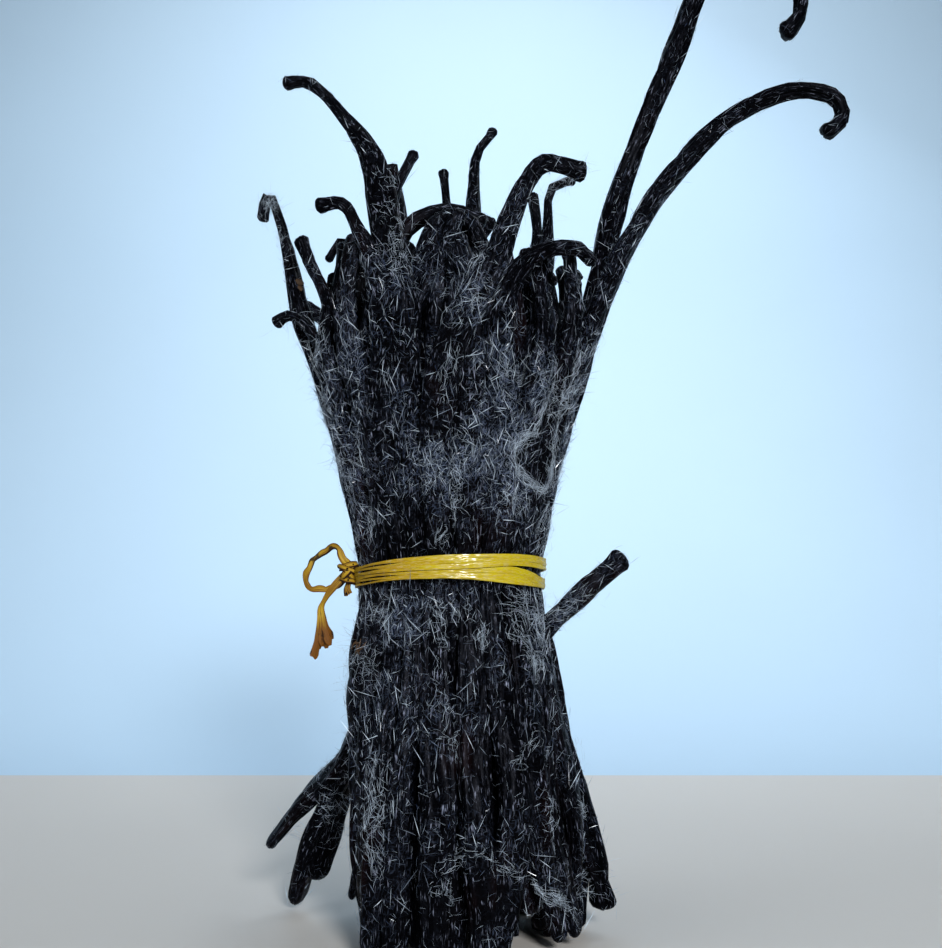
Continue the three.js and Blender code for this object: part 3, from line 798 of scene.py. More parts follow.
# %% Finish of the pods' skin
def pod_finish():
    finish = Finish("cured_pod_skin")
    grain = finish.node("UVMap", {"uv_map": "Grain"}, None)
    place = finish.node("TexCoord", None, None, out="Object")
    ridge = finish.node("Attribute", {"attribute_name": "tone"}, None, out="Fac")
    frost = finish.node("Attribute", {"attribute_name": "frost"}, None, out="Fac")
    fibres = finish.noise(grain, (2.2, 0.28, 1), 4, 0.7)
    hairlines = finish.noise(grain, (5.2, 0.5, 1), 2)
    blotches = finish.noise(place, (90, 90, 45), 3)
    # Painted highlight: pale glint streaks on the ridges, drawn into the skin's base colour.
    painted_glints = ((fibres - 0.44) * 5.0).held() * ((hairlines - 0.60) * 12.0).held() * (ridge + 0.3)
    skin = finish.blend(painted_glints, BLACK_SKIN, PAINTED_GLINT)
    red = ((blotches - 0.57) * 7.0).held() * ridge
    skin = finish.blend(red * 0.35, skin, OXBLOOD)
    marks = sum(thin_marks(finish, grain, *mark) for mark in MARKS).held()
    haze = ((frost - 0.45) * 0.08).held()
    skin = finish.blend(haze, skin, HAZE)
    skin = finish.blend(marks * (frost * 0.6 + 0.01).held(), skin, MARK)
    rough = (0.20 + fibres * 0.06 + marks * 0.3 + ((0.56 - hairlines) * 5.0).held() * 0.18).held()
    bump = finish.node("Bump", None, {"Strength": 0.5, "Distance": 0.00022, "Height": fibres})
    return finish.surface(Base_Color=skin, Roughness=rough, Normal=bump, Specular_IOR_Level=0.03,
                          Specular_Tint=(0.75, 0.80, 1.0, 1))


pod_material = pod_finish()

# %% [markdown]
# The outer pods of the front are what a glance sees, so they get most of the faces. Those of the back are
# a piece of their own. The inner pods show only at the crown and the foot, and are coarser.


# %% Outer and inner pods
POD_GROUPS = {  # name: sides and rings of each pod
    "pods_front": (50, 104),
    "pods_back": (36, 84),
    "pods_inner": (20, 58),
}
POD_ROUND = 13.0  # millimetres once round an ordinary pod, for its grain
OTHER_GRAIN = 31.7  # how far the grain is shifted from one pod to the next
END_TONE = 0.3


def group_of(pod):
    if pod["ring"] > 0:
        return "pods_inner"
    return "pods_front" if math.sin(pod["azimuth"]) < 0 else "pods_back"


def make_pod_pieces():
    made = {}
    number = 0
    for name, (sides, rings) in POD_GROUPS.items():
        members = [pod for pod in [*pods, stray] if group_of(pod) == name]
        store = Joined()
        for place, pod in enumerate(members):
            points, along, ridges = pod_skin(pod, number, sides, rings)
            column = (place / len(members), (place + 1) / len(members))
            tones = np.append(ridges.ravel(), [END_TONE, END_TONE])
            add_skin(store, points, along, POD_ROUND, tones, column)
            for skin in store.grain[-3:]:
                skin[..., 0] += OTHER_GRAIN * number
            number += 1
        made[name] = (store, store.make(name, pod_material))
    return made


pod_pieces = make_pod_pieces()

# %% [markdown]
# Behind the outer pods the bundle is packed tight. A plain dark core with shallow folds stands for that
# middle, so that no light comes through between two pods.

# %% Core of the bundle
CORE_INSET = 2.0
CORE_FOOT = [(1, 0.2), (9, 0.2), (11, 14), (13, 28), (14.6, 42)]  # radius and height
CORE_SIDE = (56, 62, 70, 76, 86, 96)  # heights where it follows the outline
CORE_TOP = [(20, 100), (12, 103), (1, 104)]
CORE_SIDES, CORE_RINGS, CORE_ROUND = 60, 60, 90.0
GROOVE, GROOVES, GROOVE_LENGTH = 1.1, 30, 30


def core_skin():
    """Points of the core, ring by ring, and how far up its side each ring lies."""
    side = [(float(outline(height)) - CORE_INSET, height) for height in CORE_SIDE]
    profile = np.array([*CORE_FOOT, *side, *CORE_TOP], float)
    walked = np.concatenate([[0], np.cumsum(np.linalg.norm(np.diff(profile, axis=0), axis=1))])
    steps = np.linspace(0, walked[-1], CORE_RINGS)
    radius = np.interp(steps, walked, profile[:, 0])[:, None]
    height = np.interp(steps, walked, profile[:, 1])[:, None]
    turn = 2 * math.pi * np.arange(CORE_SIDES)[None] / CORE_SIDES
    groove = GROOVE * creases(turn + np.zeros_like(height), height + 0 * turn, GROOVES, GROOVE_LENGTH, 401)
    reach = radius + groove * np.minimum(1, radius / 6)
    return np.stack([np.cos(turn) * reach, np.sin(turn) * reach * DEPTH_SHARE, height + 0 * turn], 2), steps


core_store = Joined()
core_points, core_along = core_skin()
add_skin(core_store, core_points, core_along + 0.01, CORE_ROUND)
core_piece = core_store.make("bundle_core", pod_material)
for piece in [*(pods_piece for _, pods_piece in pod_pieces.values()), core_piece]:
    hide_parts("vanilla_pods")


# %% [markdown]
# ## Vanillin crystals
# The crystals are white needles, from a hair's breadth to a few millimetres long. They grow straight out
# of the skin or lie on it in felted mats. Growing hairs with a particle system would leave nothing in an
# exported model, so each crystal is a real spindle of a few faces, and all of a kind are one mesh. They
# may only stand where open air reaches the skin, and a tree of the pods' faces tells that quickly.

# %% Where open air reaches the skin
OPEN_REACH, SKIN_GAP = 6.0, 0.15  # how far a spot must see out, and how far off the skin it looks from
stores = [store for store, _ in pod_pieces.values()] + [core_store]
all_points = np.concatenate([np.concatenate(store.points) for store in stores])
offsets = np.cumsum([0] + [store.count for store in stores])
walls = [rows + start for store, start in zip(stores, offsets) for rows in store.faces if rows.shape[1] == 4]
solid_tree = BVHTree.FromPolygons(all_points.tolist(), np.concatenate(walls).tolist())


def unit(vectors):
    return vectors / np.maximum(np.linalg.norm(vectors, axis=-1, keepdims=True), 1e-9)


def in_the_open(places, ways, reach):
    """Which rays get away from the skin without meeting a pod within reach."""
    return np.array([solid_tree.ray_cast(place, way, reach)[0] is None
                     for place, way in zip(places.tolist(), ways.tolist())])


pod_quads = all_points[np.concatenate(walls)]
quad_across, quad_along = pod_quads[:, 1] - pod_quads[:, 0], pod_quads[:, 3] - pod_quads[:, 0]
quad_normals = np.cross(quad_across, quad_along)
quad_middles = pod_quads.mean(1)
openness = in_the_open(quad_middles + unit(quad_normals) * SKIN_GAP, unit(quad_normals), OPEN_REACH)
print(f"{openness.sum()} of {len(openness)} faces lie open")

# %% Random spots on the open skin
chance = np.random.default_rng(77)  # gives every draw from here on


def skin_sites(count, density):
    """Random spots on the open skin: place, normal, and the direction along the pod."""
    chances = np.linalg.norm(quad_normals, axis=1) * density(quad_middles) * openness
    picked = chance.choice(len(chances), count, p=chances / chances.sum())
    share = chance.random((count, 2))
    places = (pod_quads[picked, 0] + quad_across[picked] * share[:, :1]
              + quad_along[picked] * share[:, 1:])
    return places, unit(quad_normals[picked]), unit(quad_along[picked])


# %% [markdown]
# The thick crystals are straight. A needle is a spindle with three sides, two points and six faces, lifted
# a little off the skin. The long ones lean towards the pod's own direction and the short ones lie every
# way. Each length and each radius is an ordinary one times a random factor, so a few come out large.


# %% Needles
NEEDLES = [  # name, how many, ordinary length and radius, how far they stray from the pod's direction
    ("crystal_needles_long", 8500, 2.2, 0.028, 0.8),
    ("crystal_needles_short", 13000, 1.2, 0.023, 1.4),
]
BLADES, BLADE, THICKEST_NEEDLE = 0.07, 2.4, 0.055  # share of blades, how much thicker, and the limit
NEEDLE_LENGTHS = (0.3, 5.5)
STRAY_FROST = 0.016  # some needles grow where there is no frost
SPINDLE_CORNERS = np.array([(0.1, 0.5), (0.4, 0.2), (0.5, 0.5), (0.6, 0.8), (0.9, 0.5)])  # for baking


def add_needles(store, middles, ways, lengths, radii, tones):
    """Spindles with three sides and two points."""
    count, each = len(middles), len(SPINDLE_CORNERS)
    aside = unit(np.cross(ways, chance.normal(size=(count, 3))))
    beyond = np.cross(ways, aside)
    rows = [middles - ways * lengths[:, None] / 2]
    for corner in range(3):
        turn = 2 * math.pi * corner / 3
        rows.append(middles + (aside * math.cos(turn) + beyond * math.sin(turn)) * radii[:, None])
    rows.append(middles + ways * lengths[:, None] / 2)
    points = np.stack(rows, 1).reshape(-1, 3)
    faces = np.array([(0, 1 + (c + 1) % 3, 1 + c) for c in range(3)]
                     + [(4, 1 + c, 1 + (c + 1) % 3) for c in range(3)])
    faces = (faces[None] + each * np.arange(count)[:, None, None]).reshape(-1, 3)
    cells = math.ceil(math.sqrt(count))
    cell = np.stack(np.divmod(np.arange(count), cells), 1)[:, None] / cells
    square = (cell + SPINDLE_CORNERS[None] / cells).reshape(-1, 2)
    store.add(points, [faces], [square[faces]], [square[faces]], np.repeat(tones, each))


# %% Pieces of needles
def make_needles(name, count, ordinary, thick, straying, material):
    """One piece of needles that grow where the frost is."""
    store = Joined()
    places, normals, along = skin_sites(count, lambda middles: frost_at(middles) + STRAY_FROST)
    turned = chance.normal(0, straying, count)[:, None]
    tangent = along * np.cos(turned) + np.cross(normals, along) * np.sin(turned)
    lift = np.abs(chance.normal(0, 0.26, count))[:, None]
    ways = unit(tangent * np.cos(lift) + normals * np.sin(lift))
    vigour = chance.normal(0, 1, count)
    lengths = np.clip(ordinary * np.exp(0.45 * vigour), *NEEDLE_LENGTHS)
    radii = thick * np.exp(0.3 * vigour + chance.normal(0, 0.4, count))
    radii = np.minimum(radii * np.where(chance.random(count) < BLADES, BLADE, 1), THICKEST_NEEDLE)
    middles = places + normals * (0.04 + np.sin(lift) * lengths[:, None] / 2)
    middles[:, 2] = np.maximum(middles[:, 2], np.abs(ways[:, 2]) * lengths / 2 + 0.15)
    tones = np.clip(chance.random(count) ** 1.7 + 0.12 * vigour, 0, 1)
    add_needles(store, middles, ways, lengths, radii, tones)
    return store.make(name, material, rough=True)


# %% Finish of the crystals
SHADED_CRYSTAL, BRIGHT_CRYSTAL = (0.028, 0.050, 0.12, 1), (0.73, 0.865, 1.0, 1)
CLOUDS = 700  # cloudy spots in each metre of a crystal


def crystal_finish():
    """Clear and cloudy by turns, and as bright as each crystal's own tone."""
    finish = Finish("vanillin_crystal")
    tone = finish.node("Attribute", {"attribute_name": "tone"}, None, out="Fac")
    place = finish.node("TexCoord", None, None, out="Object")
    cloudy = finish.noise(place, (CLOUDS, CLOUDS, CLOUDS), 2)
    bright = (tone * (0.55 + cloudy * 0.9)).held()
    colour = finish.blend(bright, SHADED_CRYSTAL, BRIGHT_CRYSTAL)
    bump = finish.node("Bump", None, {"Strength": 0.2, "Distance": 0.00005, "Height": cloudy})
    return finish.surface(Base_Color=colour, Roughness=0.16 + cloudy * 0.16, Normal=bump,
                          Specular_IOR_Level=1.0)


crystal_material = crystal_finish()
frost_pieces = [make_needles(*kind, crystal_material) for kind in NEEDLES]

# %% [markdown]
# Longer crystals bend, catch each other and felt into cobwebs. A mat is drawn as a guide over the skin, a
# few points seen from the front or from a side. Many fine hairs are strewn along it, each with its own
# length, slant and curve, and then let down on to the nearest skin.


# %% Hairs
HAIR_STEPS = 5  # points along a hair of a mat
LEAST_TAPER = 0.4  # a hair's radius near its points, as a share of that in its middle


def add_hairs(store, ways, radii, tones):
    """Bent spindles: ways holds the points of each hair in a row."""
    count, steps = ways.shape[:2]
    tangents = unit(np.gradient(ways, axis=1))
    aside = unit(np.cross(tangents, chance.normal(size=(count, 1, 3))))
    beyond = np.cross(tangents, aside)
    taper = mix(LEAST_TAPER, 1, np.sin(math.pi * np.arange(steps) / (steps - 1)))
    reach = (radii[:, None] * taper)[..., None]
    ring = [ways + (aside * math.cos(t) + beyond * math.sin(t)) * reach
            for t in (0, 2 * math.pi / 3, 4 * math.pi / 3)]
    body = np.stack(ring, 2)[:, 1:-1].reshape(count, -1, 3)
    points = np.concatenate([body, ways[:, :1], ways[:, -1:]], 1)
    each = points.shape[1]
    wall, low, high = skin_faces(steps - 2, 3)
    starts = each * np.arange(count)[:, None, None]
    cells = math.ceil(math.sqrt(count))
    cell = np.stack(np.divmod(np.arange(count), cells), 1)[:, None] / cells
    spots = np.array([(0.2 + 0.6 * (k % 3) / 2, 0.15 + 0.7 * (k // 3) / steps) for k in range(each - 2)]
                     + [(0.5, 0.05), (0.5, 0.95)])  # where a hair's points lie in its share of the square
    square = (cell + spots[None] / cells).reshape(-1, 2)
    groups = [(rows[None] + starts).reshape(-1, rows.shape[1]) for rows in (wall, low, high)]
    corners = [square[rows] for rows in groups]
    store.add(points.reshape(-1, 3), groups, corners, corners, np.repeat(tones, each))


# %% Hairs let down on to the skin
SINKS = 0.5  # how much of the way to the skin a hanging point falls
OFF_FLOOR = 0.1


def let_down(hairs, lift):
    """Lifts hairs out of the skin, and lets what hangs over it sink some of the way down."""
    flat, heights = hairs.reshape(-1, 3), lift.reshape(-1)
    for k, point in enumerate(flat.tolist()):
        place, normal, _, _ = solid_tree.find_nearest(point)
        on_skin = np.array(place + normal * heights[k])
        under = (Vector(point) - place).dot(normal) < heights[k]
        flat[k] = on_skin if under else mix(flat[k], on_skin, SINKS)
    flat[:, 2] = np.maximum(flat[:, 2], OFF_FLOOR)
    return flat.reshape(hairs.shape)


# %% Hairs strewn along a guide
LOOK_AROUND = 0.5  # how far along the guide a hair looks each way for its direction
HAIR_LENGTHS = (0.5, 1.4)  # shares of the length that a mat's hairs are given
HAIR_BEND = 0.13


def along_guide(guide, walked, spots):
    return np.stack([np.interp(spots, walked, guide[:, axis]) for axis in range(3)], 1)


def strewn_hairs(guide, count, spread, length, wander):
    """Hairs along a guide on the skin."""
    walked = np.concatenate([[0], np.cumsum(np.linalg.norm(np.diff(guide, axis=0), axis=1))])
    spot = chance.random(count) * walked[-1]
    ahead = along_guide(guide, walked, spot + LOOK_AROUND)
    behind = along_guide(guide, walked, spot - LOOK_AROUND)
    middles = along_guide(guide, walked, spot) + chance.normal(0, spread, (count, 3))
    ways = unit(unit(ahead - behind) + chance.normal(0, wander, (count, 3)))
    lengths = length * mix(*HAIR_LENGTHS, chance.random(count))
    bend = unit(np.cross(ways, chance.normal(size=(count, 3))))
    bend = bend * (lengths * chance.normal(0, HAIR_BEND, count))[:, None]
    share = np.linspace(-1, 1, HAIR_STEPS)[None, :, None]
    hairs = middles[:, None] + ways[:, None] * lengths[:, None, None] / 2 * share
    hairs = hairs + bend[:, None] * (1 - share ** 2)
    arch = (1 - share[..., 0] ** 2) * (0.1 + 0.6 * chance.random((count, 1)))
    return let_down(hairs, 0.06 + arch)


# %% [markdown]
# The mats of the front each have their own place and drift. Those of the sides and the back are drawn
# at random in the same way, because frost has no front.

# %% Mats and cobwebs of the front
FRONT_MATS = [  # guide over the front as (x, height) points, how thick, spread, length, wander
    ([(15.5, 90.1), (13.7, 89.3), (11.9, 87.7), (11.5, 85.6), (12.3, 83.2), (14.5, 81.4), (16.9, 80.5),
      (18.3, 82.0), (18.2, 84.1)], 24, 0.4, 3.4, 0.3),
    ([(17.3, 95.8), (16.2, 92.8), (15.2, 89.8)], 12, 0.3, 3.5, 0.25),
    ([(20.1, 94.3), (19.3, 90.7), (18.8, 87.7), (18.3, 82.3)], 9, 0.4, 3.5, 0.3),
    ([(18.8, 94.3), (22.0, 95.8), (25.9, 98.2)], 9, 0.35, 4.0, 0.25),
    ([(19.4, 96.4), (22.7, 99.1), (26.3, 101.5)], 7, 0.4, 4.0, 0.3),
    ([(20.0, 99.1), (21.2, 96.4)], 25, 0.8, 2.6, 0.8),
    ([(21.6, 87.1), (20.1, 83.8), (18.9, 80.8)], 12, 0.7, 2.6, 0.7),
    ([(1.0, 103.7), (-0.2, 99.1), (-0.1, 94.0)], 8, 0.6, 2.8, 0.5),
    ([(1.4, 83.3), (1.4, 78.2), (1.1, 73.8)], 17, 0.6, 2.6, 0.6),
    ([(-2.8, 87.1), (-3.2, 83.5), (-3.0, 79.9)], 12, 0.8, 2.4, 0.6),
    ([(-14.4, 77.9), (-13.5, 75.0), (-14.0, 71.2)], 22, 1.0, 2.4, 0.5),
    ([(18.6, 78.2), (17.1, 76.1), (16.5, 73.5)], 16, 0.6, 2.4, 0.5),
    ([(-0.9, 72.6), (-1.2, 69.6)], 14, 0.4, 2.4, 0.4),
    ([(9.1, 102.5), (10.5, 100.3), (12.6, 99.7), (14.4, 103.7)], 11, 0.5, 3.0, 0.4),
    ([(8.4, 77.3), (10.4, 78.8), (13.0, 78.2), (13.3, 75.8)], 13, 0.6, 2.6, 0.6),
    ([(1.9, 90.1), (3.1, 88.0), (1.4, 85.6)], 14, 1.4, 2.6, 0.8),
    ([(4.0, 110.8), (5.2, 111.5), (6.1, 110.5)], 12, 0.4, 2.6, 0.6),
    ([(7.2, 126.0), (6.4, 119.0), (3.2, 112.0), (-1.0, 106.0)], 3, 0.8, 4.0, 0.3),
    ([(-2.3, 59.2), (-1.4, 56.3)], 24, 0.6, 2.6, 0.4),
    ([(2.2, 59.8), (2.8, 57.4)], 26, 0.8, 2.6, 0.5),
    ([(10.6, 62.2), (12.6, 61.0), (14.1, 60.1)], 15, 0.6, 3.0, 0.5),
    ([(5.8, 56.0), (5.8, 53.6), (6.3, 51.6)], 20, 0.5, 2.6, 0.5),
    ([(11.4, 56.0), (12.0, 53.6), (14.4, 51.6)], 15, 0.6, 3.2, 0.4),
    ([(9.0, 58.6), (12.4, 57.6), (15.8, 57.0)], 10, 0.8, 4.2, 0.6),
    ([(14.6, 49.5), (15.8, 48.6)], 24, 0.8, 2.2, 0.8),
    ([(-14.5, 56.6), (-12.4, 57.7), (-10.7, 59.8)], 12, 0.6, 2.6, 0.5),
    ([(-11.2, 57.2), (-11.1, 54.8)], 14, 0.5, 2.4, 0.5),
    ([(15.6, 58.9), (16.5, 54.2), (16.7, 51.6)], 12, 0.5, 3.4, 0.4),
    ([(-2.0, 55.4), (-1.7, 53.0), (-0.8, 52.7)], 12, 0.6, 2.6, 0.6),
    ([(-15.9, 48.9), (-14.7, 48.6), (-13.8, 47.8)], 18, 0.8, 3.0, 0.8),
    ([(-12.2, 32.6), (-11.2, 28.1), (-11.5, 23.6), (-12.1, 20.4)], 26, 1.0, 3.0, 0.45),
    ([(-13.1, 20.4), (-11.7, 17.2), (-11.3, 14.1)], 18, 0.8, 2.8, 0.5),
    ([(-0.2, 12.8), (0.5, 10.9)], 34, 0.8, 2.4, 0.7),
    ([(15.3, 11.5), (17.9, 9.7), (20.8, 7.4)], 24, 0.4, 3.0, 0.25),
    ([(0.4, 34.6), (1.4, 37.5)], 12, 0.6, 2.4, 0.6),
    ([(-0.2, 16.3), (2.5, 17.9), (5.1, 18.5)], 10, 0.6, 2.8, 0.5),
    ([(17.0, 25.8), (18.0, 23.6), (17.6, 20.1)], 12, 0.6, 2.6, 0.6),
    ([(14.3, 50.1), (16.6, 48.4), (15.6, 47.4)], 16, 0.7, 2.6, 0.7),
    ([(-15.2, 51.1), (-13.8, 47.7), (-15.1, 45.1)], 10, 0.8, 3.4, 0.6),
    ([(23.0, 24.2), (24.6, 21.7)], 12, 0.5, 2.4, 0.5),
    ([(-1.6, 47.1), (-0.3, 43.1), (0.4, 39.8)], 9, 1.0, 2.6, 0.7),
    ([(11.8, 32.6), (12.8, 34.6), (15.1, 35.9)], 9, 0.6, 2.8, 0.5),
    ([(7.1, 16.9), (10.0, 15.3), (12.7, 14.7)], 10, 0.6, 3.0, 0.5),
    ([(20.3, 146.5), (21.5, 148.8), (25.5, 149.3)], 20, 0.5, 2.2, 0.8),
    ([(-38.6, 141.0), (-37.8, 144.2), (-36.4, 140.5)], 26, 0.4, 2.0, 0.7),
    ([(-9.9, 126.0), (-9.0, 121.5), (-8.4, 117.5)], 16, 0.8, 2.4, 0.8),
    ([(-35.5, 136.5), (-34.0, 131.0)], 10, 0.5, 2.0, 0.6),
    ([(-12.5, 138.0), (-10.5, 133.0), (-9.5, 127.0)], 7, 1.0, 2.4, 0.9),
    ([(21.5, 99.5), (23.5, 103.5), (25.8, 108.0)], 10, 0.7, 3.4, 0.4),
]


# %% Guides over the skin
FAR_OUT = 100  # where the rays towards the bundle start
AROUND_STEPS = 4


def skin_towards(starts, way):
    """The points of the skin that rays meet."""
    found = [solid_tree.ray_cast(start, way)[0] for start in starts]
    return np.array([place for place in found if place is not None])


def from_front(spots):
    """The points of the skin behind spots seen from the front."""
    return skin_towards([(x, -FAR_OUT, height) for x, height in spots], (0, 1, 0))


def from_around(azimuth, height, drift, length):
    """A guide over the skin from a spot on the side or the back."""
    found = []
    for step in np.linspace(-0.5, 0.5, AROUND_STEPS) * length:
        turned = azimuth + step * math.sin(drift) / outline(height)
        out = np.array([math.cos(turned), math.sin(turned), 0])
        start = out * FAR_OUT + (0, 0, height + step * math.cos(drift))
        found.extend(skin_towards([start], -out))
    return np.array(found)


# %% All mats in one piece
AROUND_MATS = 40
AROUND_HEIGHTS, AROUND_TURNS, AROUND_LENGTHS = (8, 116), (-40, 220), (3, 11)
AROUND_THICKNESS, AROUND_SPREAD, AROUND_HAIRS = (7, 16), (0.5, 1.4), (3.0, 0.5)
HAIRS_PER_MM, SPREAD_SHARE = 0.55, 1.25  # for a thickness of 1, and for a spread of 1
MAT_RADII, MAT_TONES = (0.012, 0.028), (0.5, 1.0)


def make_mats(material):
    store = Joined()
    guides = [(from_front(spots), *rest) for spots, *rest in FRONT_MATS]
    for _ in range(AROUND_MATS):
        height = chance.uniform(*AROUND_HEIGHTS)
        guide = from_around(math.radians(chance.uniform(*AROUND_TURNS)), height, chance.normal(0, 0.9),
                            chance.uniform(*AROUND_LENGTHS))
        guides.append((guide, chance.uniform(*AROUND_THICKNESS), chance.uniform(*AROUND_SPREAD),
                       *AROUND_HAIRS))
    for guide, thickness, spread, hair_length, wander in guides:
        if len(guide) < 2:
            continue
        length = np.linalg.norm(np.diff(guide, axis=0), axis=1).sum()
        hairs = strewn_hairs(guide, int(HAIRS_PER_MM * thickness * length), SPREAD_SHARE * spread,
                             hair_length, wander)
        tones = mix(*MAT_TONES, chance.random(len(hairs)))
        add_hairs(store, hairs, mix(*MAT_RADII, chance.random(len(hairs))), tones)
    return store.make("crystal_mats", material)


frost_pieces.append(make_mats(crystal_material))

# %% [markdown]
# Between the needles and the mats the skin is covered with a thin tangle of hairs, each no thicker than
# spider silk and bent a little. They lie in every direction and catch less light than the needles, so
# they fill the dark between them without hiding it.

# %% Tangle of thin hairs
TANGLE_HAIRS, TANGLE_STEPS = 15500, 4
TANGLE_EVEN = 0.12  # the tangle spreads more evenly than the frost
TANGLE_LENGTH, TANGLE_LENGTHS = 1.6, (0.5, 4.5)  # ordinary, and the limits
TANGLE_RADII, TANGLE_TONES, TANGLE_BEND = (0.012, 0.021), (0.15, 0.85), 0.16


def make_tangle(material):
    store = Joined()
    places, normals, along = skin_sites(TANGLE_HAIRS, lambda middles: frost_at(middles) + TANGLE_EVEN)
    turned = chance.uniform(0, 2 * math.pi, (TANGLE_HAIRS, 1))
    aside = np.cross(normals, along)
    ways = along * np.cos(turned) + aside * np.sin(turned)
    across = aside * np.cos(turned) - along * np.sin(turned)
    lengths = TANGLE_LENGTH * np.exp(0.45 * chance.normal(size=(TANGLE_HAIRS, 1, 1)))
    share = np.linspace(-1, 1, TANGLE_STEPS)[None, :, None]
    bend = across[:, None] * chance.normal(0, TANGLE_BEND, (TANGLE_HAIRS, 1, 1)) * (1 - share ** 2)
    hairs = (ways[:, None] * share / 2 + bend) * np.clip(lengths, *TANGLE_LENGTHS)
    hairs = (places + normals * SKIN_GAP)[:, None] + hairs
    lift = 0.05 + 0.35 * chance.random((TANGLE_HAIRS, 1)) * (1 - share[..., 0] ** 2)
    tones = mix(*TANGLE_TONES, chance.random(TANGLE_HAIRS) ** 3)
    add_hairs(store, let_down(hairs, lift), mix(*TANGLE_RADII, chance.random(TANGLE_HAIRS)), tones)
    return store.make("crystal_tangle", material)


frost_pieces.append(make_tangle(crystal_material))

# %% [markdown]
# A few whiskers stand well off the skin. They show best against the light, along the bundle's edges.


# %% Whiskers
WHISKER_SPOTS = [  # where they crowd: x, y, height, how far the crowd reaches
    (-30, -3, 112, 4), (-29, -2, 104, 5), (-27, -4, 97, 4), (-21, -6, 88, 5), (-17, -6, 52, 4),
    (-17, -4, 46, 5), (24, -6, 88, 5), (20, -6, 62, 4), (18, -8, 57, 4), (22, -9, 8, 5), (26, 0, 10, 5),
    (-38, 7, 142, 5), (20, 10, 148, 6), (25, -19, 138, 5), (0, 24, 100, 9), (14, 20, 60, 9), (-8, 22, 30, 9),
]
WHISKERS, LONE_WHISKERS = 1500, 0.008  # how many, and how thinly they stand away from the crowds
WHISKER_LENGTHS, WHISKER_RADII, WHISKER_TONES = (0.8, 4.8), (0.016, 0.028), (0.4, 1.0)


def whisker_density(middles):
    crowd = sum(np.exp(-np.sum((middles - np.array(spot[:3])) ** 2, 1) / spot[3] ** 2)
                for spot in WHISKER_SPOTS)
    return LONE_WHISKERS + crowd


def make_whiskers(material):
    store = Joined()
    places, normals, _ = skin_sites(WHISKERS, whisker_density)
    ways = unit(normals * chance.uniform(0.3, 1.2, (WHISKERS, 1)) + chance.normal(0, 0.6, (WHISKERS, 3)))
    lengths = mix(*WHISKER_LENGTHS, chance.random((WHISKERS, 1, 1)) ** 1.8)
    share = np.linspace(0, 1, HAIR_STEPS)[None, :, None]
    bend = unit(np.cross(ways, chance.normal(size=(WHISKERS, 3)))) * chance.normal(0, 0.3, (WHISKERS, 1))
    hairs = places[:, None] + (ways[:, None] * share + bend[:, None] * share ** 2) * lengths
    hairs[..., 2] = np.maximum(hairs[..., 2], OFF_FLOOR)
    radii = chance.uniform(*WHISKER_RADII, WHISKERS)
    add_hairs(store, hairs, radii, mix(*WHISKER_TONES, chance.random(WHISKERS)))
    return store.make("crystal_whiskers", material)


frost_pieces.append(make_whiskers(crystal_material))

# %% [markdown]
# ## The tie
# Raffia is the skin of a palm leaf, split by hand into long strips. It folds lengthwise as it dries, so a
# strip is a bundle of flat pleats that part here and there into fissures. It is waxy and strong yellow
# where it lies smooth, and turns amber where it has been bent and rubbed. Two finishes hold that: the
# same fibres, seams, stains and painted shade, in two pairs of colours.


# %% Finish of the raffia
# The dark brown stands for real dirt and for painted shade along edges and near the knot.
SEAM_SHADE, DIRT_AND_SHADE = (0.085, 0.036, 0.005, 1), (0.018, 0.009, 0.006, 1)


def raffia_finish(name, pale, deep, clean, gloss):
    """Fibres run from deep to pale. clean is how much is free of dirt and of painted shade, and gloss how
    much is waxy.
    """
    finish = Finish(name)
    grain = finish.node("UVMap", {"uv_map": "Grain"}, None)
    place = finish.node("TexCoord", None, None, out="Object")
    # The tone holds real wear and painted shade: it darkens strip edges and the band towards the knot.
    wear_and_shade = finish.node("Attribute", {"attribute_name": "tone"}, None, out="Fac")
    fibres = finish.noise(grain, (5.0, 0.16, 1), 4, 0.65)
    lines = finish.noise(grain, (8.0, 0.10, 1), 2)
    blotches = finish.noise(place, (300, 300, 300), 3)
    wax = ((finish.noise(grain, (4.5, 0.8, 1), 2) - 0.48) * 8.0).held()
    colour = finish.blend((fibres * 2.6 - 0.6 - wear_and_shade * 0.8).held(), deep, pale)
    seams = ((wear_and_shade * 0.06 + 0.36 - lines) * 14.0).held()
    colour = finish.blend(seams * 0.8, colour, SEAM_SHADE)
    # Real dirt in blotches, and painted shade where the tone is high.
    dirt_and_shade = ((blotches + wear_and_shade * 0.16 - clean) * 16.0).held()
    colour = finish.blend(dirt_and_shade * 0.92, colour, DIRT_AND_SHADE)
    height = fibres + lines * 0.6
    bump = finish.node("Bump", None, {"Strength": 0.6, "Distance": 0.0001, "Height": height})
    rough = (0.45 + wear_and_shade * 0.12 + dirt_and_shade * 0.3).held()
    return finish.surface(Base_Color=colour, Roughness=rough, Normal=bump, Specular_IOR_Level=0.15,
                          Coat_Weight=(wax * gloss - wear_and_shade * 0.9).held(), Coat_Roughness=0.36, Coat_IOR=2.5)


yellow_raffia = raffia_finish("yellow_raffia", (0.56, 0.48, 0.005, 1), (0.42, 0.25, 0.010, 1), 0.80, 1.5)
amber_raffia = raffia_finish("amber_raffia", (0.56, 0.37, 0.022, 1), (0.15, 0.052, 0.004, 1), 0.69, 0.15)

# %% [markdown]
# Each turn is several ribbons side by side. Their edges lap, so the band looks whole, but on the left
# near the knot they part and show the fissures. The turns lie close together in front and draw apart on
# the right, so each has its own lower and upper edge, given at a few turns round the waist.


